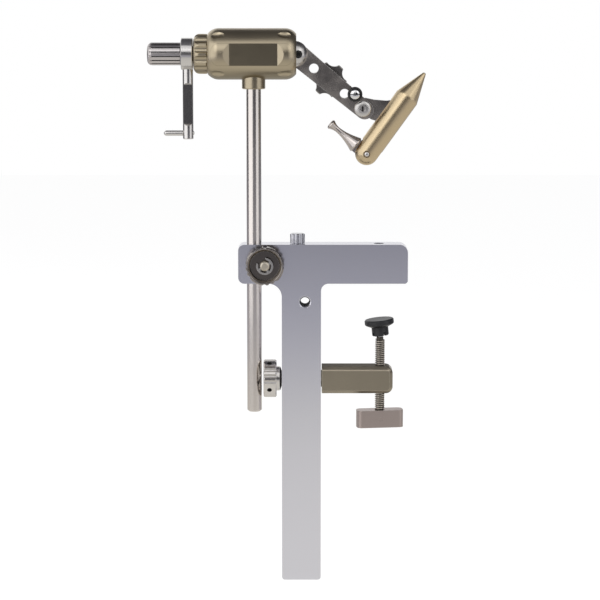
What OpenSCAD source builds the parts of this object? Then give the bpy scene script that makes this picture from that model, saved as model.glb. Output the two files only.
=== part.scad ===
// Rotary fly tying vise on a table clamp, in millimetres.
// The origin is on the face that rests on the table, on the axis of the clamp screw.
// +Z is up, +X runs along the rotary axis towards the jaws, -Y is the front.

/* [Frame] */
// Thickness of the aluminium plate that the frame is cut from
frame_t = 15.875; // [14:0.125:19]
// Height of the frame's top beam
beam_h = 25.4; // [24:0.1:30]
// How far the beam runs past the clamp screw
beam_reach = 17.5; // [12:0.5:24]
// How far the beam runs past the upright on the stem side
beam_back = 28.1; // [26.5:0.1:32]
// Width of the upright
upright_w = 25.4; // [22:0.1:30]
// Clamp screw axis to the near face of the upright
throat = 38.5; // [34:0.5:50]
// How far the upright hangs below the table face
upright_drop = 196.85; // [190:0.05:230]
// Corner radius at the beam's free end, top
beam_nose_r = 5.5; // [2:0.1:8]
// Corner radius of the stub that holds the stem
stub_r = 4; // [1:0.1:6]
// Corner radius at the foot of the upright
foot_r = 2; // [0.5:0.1:4]
// Fillet under the stub
stub_fillet_r = 8.7; // [4:0.1:10]
// Fillet at the root of the table face
throat_fillet_r = 4.8; // [2:0.1:8]
// Radius of the cross hole through the upright
cross_hole_r = 3; // [1.5:0.1:4]
// Cross hole below the table face
cross_hole_drop = 11.9; // [8:0.1:20]
// Cross hole to the near face of the upright
cross_hole_in = 10.4; // [7:0.1:14]
// Depth of the countersinks of the cross hole
cross_hole_sink = 0.9; // [0.3:0.1:1.5]
// Radius of the accessory socket in the top of the beam
socket_r = 3.2; // [2:0.1:4]
// Depth of the accessory socket
socket_depth = 20; // [8:0.5:22]
// Accessory socket back from the clamp screw axis
socket_back = 1; // [0:0.1:8]
// Width of the slot that guides the clamp arm
slot_w = 6.5; // [6.3:0.1:7.5]

/* [Stem and its clamp] */
// Diameter of the stem
stem_d = 9.525; // [8:0.005:10]
// Far face of the upright to the stem axis
stem_out = 17.9; // [17.2:0.1:19]
// How far the stem hangs below the table face
stem_drop = 85; // [60:1:110]
// Chamfer at the foot of the stem
stem_chamfer = 1; // [0.3:0.1:2]
// Radius of the cotter that pinches the stem
cotter_r = 5; // [4.6:0.1:5.4]
// Stem axis to cotter axis
cotter_off = 7.1; // [6.8:0.1:7.4]
// How far the cotter backs off in one turn of its knob
cotter_travel = 1.27; // [0.5:0.01:1.5]
// Radius of the knob studs
stud_r = 3; // [2.6:0.05:3.1]
// Length of the stud in front of the frame
stud_out = 11.6; // [10:0.1:13]

/* [Round knobs] */
// Radius of the round knobs
knob_r = 12.3; // [11:0.1:12.5]
// Length of a round knob with its hub
knob_h = 10.4; // [9:0.1:11]
// Radius of a knob's hub
knob_hub_r = 8; // [6.5:0.1:9]
// Length of a knob's hub
knob_hub_h = 2; // [1:0.1:3]
// Radius of the dish in a knob's face
dish_r = 9.8; // [8:0.1:10.2]
// Depth of the dish
dish_depth = 4.6; // [2:0.1:5]
// Radius of the tommy holes in a knob's rim
tommy_r = 1.5; // [0.8:0.1:1.8]
// Radius of a knob's flutes
knob_flute_r = 1.4; // [0.8:0.1:1.8]
// Thickness of the washers under the knobs
washer_t = 1.2; // [0.8:0.1:2]
// Outer radius of the retaining clip
clip_r = 5.5; // [4.5:0.1:6.5]
// Thickness of the retaining clip
clip_t = 0.8; // [0.5:0.1:1]

/* [Thumb screw] */
// Radius of the thumb screw's head
thumb_r = 4.75; // [3.5:0.05:6]
// Height of the head
thumb_h = 6.4; // [4:0.1:9]
// Radius of the thumb screw's shank
thumb_shank_r = 2.4; // [1.5:0.1:2.8]
// Length of the shank
thumb_shank_l = 12; // [6:0.5:16]
// Thumb screw axis to the far face of the upright
thumb_in = 10.2; // [6:0.1:14]

/* [Clamp arm] */
// Height of the clamp arm
arm_bar_h = 17.7; // [16:0.1:20]
// How far the arm runs past the clamp screw
arm_bar_nose = 8.2; // [7:0.1:12]
// Middle of the arm below the table face
arm_bar_drop = 63.4; // [60:0.1:70]
// Chamfer of the arm's long edges
arm_bar_chamfer = 2; // [0.5:0.1:3]
// Corner radius of the arm's end
arm_bar_r = 4.5; // [3.5:0.1:6]
// Height of the key that runs in the slot
key_h = 10; // [8:0.1:12]
// How far the arm can go up
arm_up = 10; // [4:1:12]
// How far the arm can go down
arm_down = 100; // [60:1:105]

/* [Clamp screw] */
// Outer radius of the clamp screw's thread
screw_r = 3.175; // [2.8:0.005:4]
// Pitch of the thread
pitch = 1.27; // [1:0.01:1.5]
// Top end of the screw below the table face
screw_top = 35.8; // [35:0.1:40]
// Top of the clamp bar below the table face
bar_drop = 84; // [80:0.5:100]
// Length of the clamp bar
bar_l = 30.4; // [24:0.1:40]
// Depth of the clamp bar from front to back
bar_w = 10; // [9:0.1:14]
// Height of the clamp bar
bar_h = 11.4; // [9:0.1:16]
// Radius of the clamp bar's upright edges
bar_r = 3.2; // [1:0.1:4]
// How far the clamp bar is turned at rest
bar_yaw = 8; // [0:1:20]
// Radius of the pin through the clamp bar
bar_pin_r = 1.2; // [0.8:0.1:1.4]

/* [Swivel pad] */
// Radius of the pad's disc
pad_r = 9.5; // [7:0.1:12]
// Thickness of the disc's rim
pad_rim = 3.4; // [1.5:0.1:3.8]
// Top of the pad above the ball's centre
pad_h = 6.9; // [6.4:0.1:9]
// Radius of the pad's hub
pad_hub_r = 5.45; // [5:0.05:6.5]
// How far the hub reaches below the ball's centre
pad_hub_drop = 3.9; // [3.4:0.1:4]
// Ball's centre below the table face
ball_drop = 31; // [30:0.1:31.2]
// Radius of the ball
ball_r = 2.8; // [2.5:0.05:3]
// Radius of the neck under the ball
neck_r = 1.7; // [1.2:0.05:1.8]
// Tilt of the pad at rest
pad_tilt = 6; // [0:1:9]

/* [Head] */
// Rotary axis above the table face
head_z = 147.3; // [130:0.1:170]
// Radius of the head's housing
housing_r = 16.35; // [15:0.05:18]
// Length of the housing
housing_l = 56.6; // [54:0.1:64]
// Stem axis to the housing's front end
housing_front = 27.3; // [26.5:0.1:30]
// Length of the rounding at each end of the housing
shoulder_l = 7.1; // [4:0.1:8]
// Radius of that rounding
shoulder_r = 8.9; // [8.5:0.1:12]
// Radius of the counterbore for the nose and the offset arm
nose_bore_r = 11; // [10.6:0.1:11.4]
// Depth of that counterbore
nose_bore_depth = 12; // [11.4:0.1:13]
// Half height of the flat milled on the housing's front
window_half = 7; // [4:0.1:8]
// Length of the flat
window_l = 30.5; // [20:0.1:34]
// Middle of the flat back from the stem axis
window_back = -0.1; // [-3:0.1:3]
// Length of the sloping run-out at each end of the flat
window_ramp = 4; // [2:0.1:5]
// Angle of the scallops above and below the front
scallop_angle = 49; // [40:1:55]
// Radius of the cutter that makes the scallops
scallop_cutter_r = 11; // [9:0.1:14]
// Radius of the cutter's rounded rim
scallop_rim_r = 4; // [1.5:0.1:5]
// Depth of the scallops
scallop_depth = 1.5; // [0.4:0.1:1.6]
// Radius of the collar that holds the stem
collar_r = 7.5; // [6.8:0.1:8]
// Length of the collar below the rotary axis
collar_drop = 22.3; // [20:0.1:26]

/* [Spindle] */
// Radius of the spindle in its bushes
spindle_r = 4.7625; // [4:0.0025:5]
// Radius of the spindle's tail
tail_r = 3.175; // [2.5:0.005:3.6]
// Outer radius of the bushes
bush_r = 8; // [6.5:0.1:8.4]
// Length of the front bush
front_bush_l = 9; // [6:0.5:12]
// Length of the rear bush
rear_bush_l = 11; // [6:0.5:12]
// Radius of the spindle's nose
nose_r = 9.1; // [7:0.1:9.4]
// Pivot to the middle of the nose's dome
nose_back = 2.2; // [2:0.1:3]
// Radius of the drag knob
drag_r = 12.7; // [12:0.1:14]
// Length of the drag knob outside the housing
drag_l = 8.8; // [7:0.1:12]
// Number of flutes on the drag knob
drag_flutes = 12; // [8:1:16]
// Radius of the drag knob's spigot
spigot_r = 8.9; // [8.6:0.1:9.4]
// Length of the spigot
spigot_l = 4.8; // [3:0.1:5.5]
// Thickness of the friction ring
ring_t = 2.7; // [1.5:0.1:3.5]
// Thickness of the thrust washer
thrust_t = 0.5; // [0.4:0.1:1.5]

/* [Crank] */
// Radius of the crank's hub
hub_r = 10.2; // [8:0.1:12]
// Width of the hub
hub_w = 7.5; // [7:0.1:9]
// Radius of the crank's rod
rod_r = 3.4; // [2.8:0.1:3.5]
// Reach of the crank from the rotary axis
crank_l = 54.4; // [45:0.1:60]
// Depth of the flat on the rod
rod_flat = 1.25; // [0.5:0.05:1.5]
// Start and length of the flat below the axis
flat_start = 19.5; // [14:0.5:24]
// Length of the flat
flat_l = 25; // [15:0.5:28]
// Radius of the crank pin
pin_r = 1.75; // [1.25:0.05:2]
// Crank pin above the end of the rod
pin_up = 3.8; // [3:0.1:8]
// How far the pin stands out of the rod
pin_out = 12.3; // [8:0.1:20]
// Radius of the finger knob
finger_r = 7.2; // [6:0.1:9]
// Length of the finger knob
finger_l = 21.4; // [16:0.1:26]
// Number of flutes on the finger knob
finger_flutes = 16; // [10:1:18]
// Radius of the finger knob's rounded end
finger_end_r = 3; // [1:0.1:4]

/* [Offset arm] */
// Arm's upper pivot in front of the housing
pivot_front = 1.4; // [1.2:0.1:2]
// Upper pivot to lower pivot
link_l = 53.9; // [52:0.1:62]
// Angle of the arm below the rotary axis
link_angle = 40.2; // [35:0.1:45]
// Thickness of the arm
link_t = 7.9; // [7.6:0.1:8.4]
// Half width of the arm at its upper end
link_half = 7.15; // [6.6:0.05:7.4]
// Half width of the arm at its lower end
link_half_low = 5.8; // [5.6:0.05:6.8]
// Upper round end's middle off the line between the pivots
link_off = 0.8; // [0:0.1:1]
// Upper pivot back to the middle of the arm's upper round end
link_before = 2.2; // [1:0.1:2.4]
// Lower pivot to the middle of the arm's round end
link_past = 1.6; // [1:0.1:2]
// Radius of the lightening holes
light_r = 3.05; // [2:0.05:3.2]
// Upper pivot to the first lightening hole
light_1 = 13.4; // [12:0.1:15]
// Lower pivot back to the second lightening hole
light_2_back = 15.1; // [14.5:0.1:17]
// Upper pivot to the pinch screw
pinch_at = 26; // [23:0.1:28]
// Upper pivot to the start of the arm's slit
slit_at = 19.5; // [18:0.1:20.5]
// Radius of the pivot screws
pivot_r = 2.5; // [2:0.05:2.8]
// Radius of the pinch screw
pinch_r = 2; // [1.5:0.05:2.4]
// Radius of the star knob over its lobes
star_r = 11.2; // [9:0.1:12]
// Thickness of the star knob
star_t = 6; // [4:0.1:8]
// Number of lobes on the star knob
star_lobes = 6; // [5:1:7]
// Radius of the lower pivot screw's head
pivot_head_r = 5.5; // [4.5:0.05:5.8]
// Height of the lower pivot screw's head
pivot_head_h = 1.8; // [1.5:0.1:2.6]
// Lower pivot back along the arm to the material keeper
keeper_back = 10; // [9:0.1:10]
// Material keeper off the arm's middle line
keeper_off = 3.9; // [2.5:0.05:4]
// Outer radius of the keeper's rubber ring
keeper_ring_r = 4.75; // [4:0.05:5]
// Radius of the keeper's button
keeper_r = 3.2; // [2.6:0.05:3.6]

/* [Jaws] */
// Angle of the jaws above the rotary axis
jaw_angle = 54.2; // [45:0.1:60]
// Lower pivot along the jaws from the lever pin
pivot_u = 21.9; // [21:0.1:24]
// Lower pivot square to the jaws from their axis
pivot_v = 19; // [18:0.1:22]
// Radius of the jaws
jaw_r = 7.75; // [7.4:0.05:8.4]
// Lever pin to the tip of the jaws
jaw_l = 63.5; // [60:0.5:72]
// Length of the jaws' cone
cone_l = 19.4; // [16:0.1:24]
// Radius at the tip
tip_r = 1.1; // [0.7:0.1:2]
// Gap between the two jaws
jaw_gap = 0.3; // [0.2:0.05:0.5]
// How far the rear jaw rocks open
jaw_rock = 1.5; // [1:0.1:2]
// Lever pin to the jaw adjusting screw
adjust_u = 30; // [28.5:0.1:31]
// Radius of the adjusting screw
adjust_r = 1.6; // [1.2:0.05:2]
// Thickness of the tang
tang_t = 3; // [2.4:0.1:3.4]
// Radius of the tang's knuckle
knuckle_r = 5.7; // [5.4:0.1:6.6]
// Radius of the dowels that hold the tang
dowel_r = 1.25; // [0.8:0.05:1.5]

/* [Cam lever] */
// Angle of the lever from the rotary axis
lever_angle = 140.6; // [138:0.1:146]
// Lever pin to the end of the lever
lever_l = 30.5; // [28:0.1:36]
// Radius of the lever's end button
lever_end_r = 3.35; // [3:0.1:4.5]
// Radius of the lever's neck
lever_neck_r = 1.75; // [1.4:0.05:2.2]
// Radius of the lever's root
lever_root_r = 5.25; // [4.5:0.05:5.6]
// Thickness of the lever's cam
cam_t = 4.2; // [3.4:0.1:4.6]
// Radius of the cam
cam_r = 5.2; // [4.4:0.1:5.4]
// Radius of the lever pin
lever_pin_r = 1.55; // [1.2:0.05:1.8]

/* [Fits] */
// Radial clearance of shafts in their bores
run_gap = 0.05; // [0.02:0.01:0.08]
// Clearance between faces that slide
face_gap = 0.15; // [0.1:0.05:0.2]
// Radial clearance of pressed and screwed pieces
seat_gap = 0.02; // [0.01:0.01:0.03]
// Free clearance round moving pieces
free_gap = 0.3; // [0.25:0.05:0.4]

/* [Hidden] */
$fn = 64;
eps = 0.1;

aluminium = [0.72, 0.72, 0.75];
steel = [0.78, 0.76, 0.74];
dark_steel = [0.27, 0.26, 0.25];
bronze = [0.62, 0.58, 0.45];
dark_bronze = [0.42, 0.38, 0.3];
gold = [0.76, 0.66, 0.49];
black = [0.07, 0.07, 0.08];

upright_x1 = -throat;
upright_x0 = upright_x1 - upright_w;
beam_x0 = upright_x0 - beam_back;
front_y = -frame_t / 2;
back_y = frame_t / 2;

stem_r = stem_d / 2;
stem_x = upright_x0 - stem_out;
cotter_x = stem_x + cotter_off;
cotter_z = beam_h / 2;
cotter_y0 = -stem_r - 0.85;
cotter_y1 = back_y - cotter_travel - 0.6;
washer_y = front_y - washer_t;
knob_y = washer_y - face_gap;
stud_y = front_y - stud_out;
clip_y = stud_y + 1.2;
dish_floor = knob_h - dish_depth;

thumb_x = upright_x0 + thumb_in;
socket_z = beam_h - socket_depth;

arm_z = -arm_bar_drop;
arm_x0 = upright_x1 + 0.6;
key_x0 = upright_x0 + 1;
slot_top = arm_z + key_h / 2 + arm_up + 0.5;
slot_foot = arm_z - key_h / 2 - arm_down - 0.5;
arm_washer_x = upright_x0 - face_gap - washer_t;
arm_knob_x = arm_washer_x - face_gap;
arm_stud_x0 = arm_knob_x - knob_h + 0.9;
arm_stud_x1 = arm_x0 + 12;

thread_depth = 0.6134 * pitch;
screw_foot = bar_drop + bar_h * 0.72;
bar_z = -bar_drop - bar_h / 2;
ball_z = -ball_drop;
neck_foot = -screw_top - 3;

housing_x1 = stem_x + housing_front;
housing_x0 = housing_x1 - housing_l;
window_y = -sqrt(housing_r * housing_r - window_half * window_half);
collar_z0 = head_z - collar_drop;
collar_z1 = head_z - bush_r - 2.4;
collar_roof = 1.8;
stem_top = collar_z1 - collar_roof;
grub_r = 1.5;
grub_z = collar_z0 + 3;

nose_floor = housing_x1 - nose_bore_depth;
rear_bore = spigot_l + ring_t + 0.4;
rear_floor = housing_x0 + rear_bore;
drag_x1 = housing_x0 - 0.2;
drag_x0 = drag_x1 - drag_l;
thrust_x = drag_x0 - thrust_t;
hub_x1 = thrust_x;
hub_x0 = hub_x1 - hub_w;
rod_x = hub_x1 - hub_w / 2 + 0.45;
rod_foot = head_z - crank_l;
crank_pin_z = rod_foot + pin_up;
finger_x1 = hub_x0 - 0.2;
finger_x0 = finger_x1 - finger_l;
tail_x0 = finger_x0 + 4;

pivot_x = housing_x1 + pivot_front;
nose_x = pivot_x - nose_back;
link_dir = [cos(link_angle), -sin(link_angle)];
low_x = pivot_x + link_l * link_dir[0];
low_z = head_z + link_l * link_dir[1];
star_y = link_t / 2 + face_gap;
link_rear = norm([link_before, link_off]) + link_half;
light_2 = link_l - light_2_back;
keeper_at = link_l - keeper_back;
link_slit = tang_t + 2 * face_gap;
keeper_y0 = -link_t / 2;
keeper_y1 = keeper_y0 - pivot_head_h - 0.5;
keeper_y2 = keeper_y1 - 3.2;
keeper_pin_r = 1.25;

jaw_x = low_x - pivot_u * cos(jaw_angle) + pivot_v * sin(jaw_angle);
jaw_z = low_z - pivot_u * sin(jaw_angle) - pivot_v * cos(jaw_angle);
cone_u = jaw_l - cone_l;
cam_slot = cam_t / 2 + free_gap;
lever_clear = jaw_r + 0.7;
head_out = link_t / 2 + face_gap;
tang_u = pivot_u - 1.6;
tang_v = -3.5;
tang_l = 16.8;
dowel_places = [[pivot_u + 2.3, 3.5], [pivot_u + 12.6, 3.5]];
spring_r = 2.9;
spring_y0 = tang_t / 2 + 0.1;
spring_y1 = spring_y0 + 1.5;
spot_y = jaw_r - 1.6;
adjust_head_r = 3;
adjust_head_h = 3.4;

// A solid with an outline in the XZ plane, centred on y = 0
module plate(t) {
    rotate([90, 0, 0]) linear_extrude(t, center = true) children();
}

// Round bars along each axis
module bar_along_x(x0, x1, r) {
    translate([x0, 0, 0]) rotate([0, 90, 0]) cylinder(h = x1 - x0, r = r);
}
module bar_along_y(y0, y1, r) {
    translate([0, y0, 0]) rotate([-90, 0, 0]) cylinder(h = y1 - y0, r = r);
}
module bar_along_z(z0, z1, r) {
    translate([0, 0, z0]) cylinder(h = z1 - z0, r = r);
}

// Solids turned about X or Y from points [radius, place]
module turned_x(points) {
    rotate([0, 90, 0]) rotate_extrude() polygon(points);
}
module turned_y(points) {
    rotate([-90, 0, 0]) rotate_extrude() polygon(points);
}

// The sliver between a square corner at the origin and an arc, outwards along s
module corner_web(r, s) {
    difference() {
        translate([s[0] > 0 ? -r : -eps, s[1] > 0 ? -r : -eps]) square(r + eps);
        translate([-s[0] * r, -s[1] * r]) circle(r);
    }
}

// Points of an arc in the plane, for turned outlines
function arc_points(c, rx, ry, a0, a1, n) =
    [for (i = [0:n]) let (a = a0 + (a1 - a0) * i / n) [c[0] + rx * cos(a), c[1] + ry * sin(a)]];

// Straight grooves in the rim of a knob that stands along X
module rim_flutes_x(x0, x1, r, count, groove_r, depth) {
    for (i = [0:count - 1]) rotate([360 / count * (i + 0.5), 0, 0])
        translate([0, 0, r - depth + groove_r]) bar_along_x(x0, x1, groove_r);
}

// Places pieces on the arm, local x along it from the upper pivot
module on_link() {
    translate([pivot_x, 0, head_z]) rotate([0, link_angle, 0]) children();
}

// Places pieces on the jaws, local x along them from the lever pin
module on_jaw() {
    translate([jaw_x, 0, jaw_z]) rotate([0, -jaw_angle, 0]) children();
}

// Frame: one plate with a stub for the stem, a table face and a slotted upright
module frame_outline() {
    difference() {
        union() {
            translate([beam_x0, 0]) square([beam_reach - beam_x0, beam_h]);
            translate([upright_x0, -upright_drop]) square([upright_w, upright_drop + eps]);
            translate([upright_x0, 0]) corner_web(stub_fillet_r, [1, 1]);
            translate([upright_x1, 0]) corner_web(throat_fillet_r, [-1, 1]);
        }
        translate([beam_x0, beam_h]) corner_web(stub_r, [-1, 1]);
        translate([beam_x0, 0]) corner_web(stub_r, [-1, -1]);
        translate([beam_reach, beam_h]) corner_web(beam_nose_r, [1, 1]);
        translate([beam_reach, 0]) corner_web(foot_r, [1, -1]);
        translate([upright_x0, -upright_drop]) corner_web(foot_r, [-1, -1]);
        translate([upright_x1, -upright_drop]) corner_web(foot_r, [1, -1]);
    }
}
module arm_slot() {
    x0 = upright_x0 - 1;
    translate([x0, -slot_w / 2, slot_foot]) cube([upright_w + 2, slot_w, slot_top - slot_foot]);
    for (z = [slot_foot, slot_top]) translate([0, 0, z]) bar_along_x(x0, x0 + upright_w + 2, slot_w / 2);
}
module clamp_frame() {
    color(aluminium) difference() {
        plate(frame_t) frame_outline();
        arm_slot();
        translate([stem_x, 0, 0]) bar_along_z(-1, beam_h + 1, stem_r + run_gap);
        translate([cotter_x, 0, cotter_z]) {
            bar_along_y(cotter_y0 - face_gap, back_y + 1, cotter_r + run_gap);
            bar_along_y(front_y - 1, cotter_y0, stud_r + 2 * run_gap);
        }
        translate([upright_x1 - cross_hole_in, 0, -cross_hole_drop]) {
            bar_along_y(front_y - 1, back_y + 1, cross_hole_r);
            for (turn = [0, 180]) rotate([0, 0, turn]) translate([0, back_y - cross_hole_sink, 0])
                rotate([-90, 0, 0]) cylinder(h = cross_hole_sink + eps, r1 = cross_hole_r,
                    r2 = cross_hole_r + cross_hole_sink + eps);
        }
        translate([-socket_back, 0, 0]) bar_along_z(socket_z, beam_h + 1, socket_r);
        translate([thumb_x, 0, beam_h]) bar_along_z(-thumb_shank_l - 1, 1, thumb_shank_r + run_gap);
    }
}

module thumb_screw() {
    head_z0 = beam_h + face_gap;
    color(steel) translate([thumb_x, 0, head_z0]) difference() {
        union() {
            cylinder(h = thumb_h - 0.6, r = thumb_r);
            translate([0, 0, thumb_h - 0.6]) cylinder(h = 0.6, r1 = thumb_r, r2 = thumb_r - 0.6);
            bar_along_z(-thumb_shank_l, eps, thumb_shank_r);
        }
        for (i = [0:7]) rotate([0, 0, 45 * i + 25]) translate([thumb_r - 0.1, 0, -eps])
            cylinder(h = thumb_h + 1, r = 1.2);
    }
}

// Stem: ground bar, held in the collar and pinched by the cotter
module stem() {
    color(steel) translate([stem_x, 0, 0]) rotate_extrude() polygon([[0, -stem_drop],
        [stem_r - stem_chamfer, -stem_drop], [stem_r, -stem_drop + stem_chamfer], [stem_r, stem_top - 0.4],
        [stem_r - 0.4, stem_top], [0, stem_top]]);
}

// Cotter: its saddle hugs the stem, and the knob draws it forward
module stem_clamp_cotter() {
    saddle = stem_r + 2 * run_gap;
    back_off = cotter_travel + free_gap;
    color(bronze) difference() {
        translate([cotter_x, 0, cotter_z]) union() {
            bar_along_y(cotter_y0, cotter_y1, cotter_r);
            bar_along_y(stud_y + 0.8, cotter_y0 + eps, stud_r);
            turned_y([[0, stud_y], [stud_r - 1, stud_y], [stud_r, stud_y + 0.8], [0, stud_y + 0.8]]);
        }
        translate([stem_x, 0, cotter_z]) {
            for (y = [0, -back_off]) translate([0, y, 0]) bar_along_z(-cotter_r - 1, cotter_r + 1, saddle);
            translate([0, -back_off, -cotter_r - 1]) cube([saddle, back_off, 2 * cotter_r + 2]);
        }
        translate([cotter_x, 0, cotter_z]) clip_groove();
    }
}
module clip_groove() {
    difference() {
        bar_along_y(clip_y - 0.1, clip_y + clip_t + 0.1, stud_r + 1);
        bar_along_y(clip_y - 1, clip_y + clip_t + 1, stud_r - 0.5);
    }
}
module retaining_clip() {
    color(steel) translate([cotter_x, 0, cotter_z]) rotate([0, -122, 0]) {
        difference() {
            bar_along_y(clip_y, clip_y + clip_t, clip_r);
            bar_along_y(clip_y - 1, clip_y + clip_t + 1, clip_r - 1.3);
            translate([0, clip_y - 1, -stud_r]) cube([clip_r + 1, clip_t + 2, 2 * stud_r]);
        }
        for (a = [90, 180, 270]) rotate([0, a, 0]) difference() {
            translate([stud_r - 1, clip_y, -0.8]) cube([clip_r - stud_r, clip_t, 1.6]);
            bar_along_y(clip_y - 1, clip_y + clip_t + 1, stud_r - 0.5 + seat_gap);
        }
    }
}
module stem_clamp_washer() {
    color(steel) translate([cotter_x, 0, cotter_z]) difference() {
        bar_along_y(washer_y, front_y, knob_hub_r);
        bar_along_y(washer_y - 1, front_y + 1, stud_r + 3 * run_gap);
    }
}

// Round knob: local +Z points to its dished face, the hub is at z = 0
module round_knob() {
    lobe_holes = 4;
    difference() {
        rotate_extrude() polygon([[0, 0], [knob_hub_r, 0], [knob_hub_r, knob_hub_h],
            [knob_r - 0.7, knob_hub_h], [knob_r, knob_hub_h + 0.7], [knob_r, knob_h - 0.7],
            [knob_r - 0.7, knob_h], [dish_r + 1.2, knob_h],
            [dish_r - 0.1, knob_h - 1.4], [dish_r - 0.5, dish_floor], [0, dish_floor]]);
        bar_along_z(-1, knob_h + 1, stud_r + run_gap);
        for (i = [0:lobe_holes - 1]) rotate([0, 0, 360 / lobe_holes * i + 62]) {
            translate([0, 0, (knob_hub_h + knob_h) / 2 + 0.3]) bar_along_x(knob_r - 2, knob_r + 1, tommy_r);
            for (a = [-18, 0, 18]) rotate([0, 0, 45 + a])
                translate([knob_r + knob_flute_r - 0.8, 0, knob_hub_h - eps])
                    cylinder(h = knob_h, r = knob_flute_r);
        }
    }
}
module stem_clamp_knob() {
    color(dark_steel) translate([cotter_x, knob_y, cotter_z]) rotate([90, 0, 0]) round_knob();
}
module clamp_arm_knob() {
    color(steel) translate([arm_knob_x, 0, arm_z]) rotate([90, 0, 0]) rotate([0, -90, 0]) round_knob();
}
module arm_knob_washer() {
    x0 = arm_washer_x;
    x1 = arm_washer_x + washer_t;
    bore = stud_r + 3 * run_gap;
    color(dark_steel) translate([0, 0, arm_z]) turned_x([[bore, x0], [knob_hub_r - 0.3, x0],
        [knob_hub_r - 0.3, x0 + 0.3], [stud_r + 2, x1], [bore, x1]]);
}

// Clamp arm: chamfered bar with a key that runs in the slot of the upright
module clamp_arm() {
    c = arm_bar_chamfer;
    hz = arm_bar_h / 2;
    xr = arm_bar_nose - arm_bar_r;
    long_section = [[front_y + c, -hz], [back_y - c, -hz], [back_y, -hz + c], [back_y, hz - c],
        [back_y - c, hz],
        [front_y + c, hz], [front_y, hz - c], [front_y, -hz + c]];
    nose_section = [[xr, front_y], [arm_bar_nose - c, front_y], [arm_bar_nose, front_y + c],
        [arm_bar_nose, back_y - c], [arm_bar_nose - c, back_y], [xr, back_y]];
    color(dark_bronze) translate([0, 0, arm_z]) difference() {
        union() {
            translate([arm_x0, 0, 0]) rotate([90, 0, 90]) linear_extrude(xr - arm_x0) polygon(long_section);
            translate([0, 0, -hz + arm_bar_r]) linear_extrude(arm_bar_h - 2 * arm_bar_r)
                polygon(nose_section);
            for (s = [-1, 1]) translate([xr, 0, s * (hz - arm_bar_r)]) turned_y([[0, front_y],
                [arm_bar_r - c, front_y], [arm_bar_r, front_y + c], [arm_bar_r, back_y - c],
                [arm_bar_r - c, back_y], [0, back_y]]);
            translate([key_x0, -slot_w / 2 + face_gap, -key_h / 2])
                cube([arm_x0 - key_x0 + eps, slot_w - 2 * face_gap, key_h]);
        }
        bar_along_z(-hz - 1, hz + 1, screw_r + run_gap);
        bar_along_x(key_x0 - 1, arm_stud_x1 + 0.5, stud_r + seat_gap);
    }
}
module arm_stud() {
    color(steel) translate([0, 0, arm_z]) turned_x([[0, arm_stud_x0], [stud_r - 0.5, arm_stud_x0],
        [stud_r, arm_stud_x0 + 0.5], [stud_r, arm_stud_x1], [0, arm_stud_x1]]);
}

// Clamp screw: the thread is drawn as rings of one pitch
module clamp_screw() {
    turns = floor((screw_foot - screw_top - 1) / pitch);
    root = screw_r - thread_depth;
    z0 = -screw_top - 0.9;
    crests = [for (i = [0:turns - 1], k = [0:3]) [k == 0 || k == 3 ? root : screw_r,
        z0 - pitch * (i + [0.06, 0.44, 0.56, 0.94][k])]];
    color(dark_bronze) difference() {
        rotate_extrude() polygon(concat([[0, -screw_top], [root - 0.3, -screw_top],
            [root, -screw_top - 0.3]],
            crests, [[root, -screw_foot], [0, -screw_foot]]));
        bar_along_z(neck_foot - 0.3, -screw_top + 1, neck_r + run_gap);
        translate([0, 0, bar_z]) rotate([0, 0, bar_yaw]) bar_along_y(-bar_w, bar_w, bar_pin_r + seat_gap);
    }
}
module clamp_bar() {
    color(steel) rotate([0, 0, bar_yaw]) difference() {
        translate([0, 0, -bar_drop - bar_h]) linear_extrude(bar_h) difference() {
            translate([-bar_l / 2, -bar_w / 2]) square([bar_l, bar_w]);
            for (sx = [-1, 1], sy = [-1, 1]) translate([sx * bar_l / 2, sy * bar_w / 2])
                corner_web(bar_r, [sx, sy]);
        }
        bar_along_z(-screw_foot - 0.3, -bar_drop + 1, screw_r + seat_gap);
        translate([0, 0, bar_z]) bar_along_y(-bar_w, bar_w, bar_pin_r + seat_gap);
    }
}
module clamp_bar_pin() {
    color(steel) translate([0, 0, bar_z]) rotate([0, 0, bar_yaw])
        bar_along_y(-bar_w / 2 + 0.2, bar_w / 2 - 0.2, bar_pin_r);
}

// Ball stud and the pad that snaps over it
module ball_stud() {
    color(steel) union() {
        translate([0, 0, ball_z]) sphere(ball_r);
        bar_along_z(neck_foot, ball_z, neck_r);
    }
}
module swivel_pad() {
    cavity_r = ball_r + 0.1;
    mouth = 1.4;
    slot_half = 0.7;
    mouth_r = sqrt(cavity_r * cavity_r - mouth * mouth);
    color(black) translate([0, 0, ball_z]) rotate([0, -pad_tilt, 0]) difference() {
        rotate_extrude() polygon([[0, -pad_hub_drop], [pad_hub_r - 0.4, -pad_hub_drop],
            [pad_hub_r, -pad_hub_drop + 0.4], [pad_hub_r, 1.6], [pad_r - 0.8, pad_h - pad_rim - 0.4],
            [pad_r, pad_h - pad_rim + 0.3], [pad_r, pad_h - 0.6], [pad_r - 0.6, pad_h], [0, pad_h]]);
        sphere(cavity_r);
        translate([0, 0, -pad_hub_drop - eps]) cylinder(h = pad_hub_drop - mouth + eps,
            r1 = neck_r + 1.9, r2 = mouth_r);
        for (a = [30, 120]) rotate([0, 0, a]) translate([-pad_r, -slot_half, -pad_hub_drop - 1])
            cube([2 * pad_r, 2 * slot_half, 3.4]);
    }
}

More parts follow.
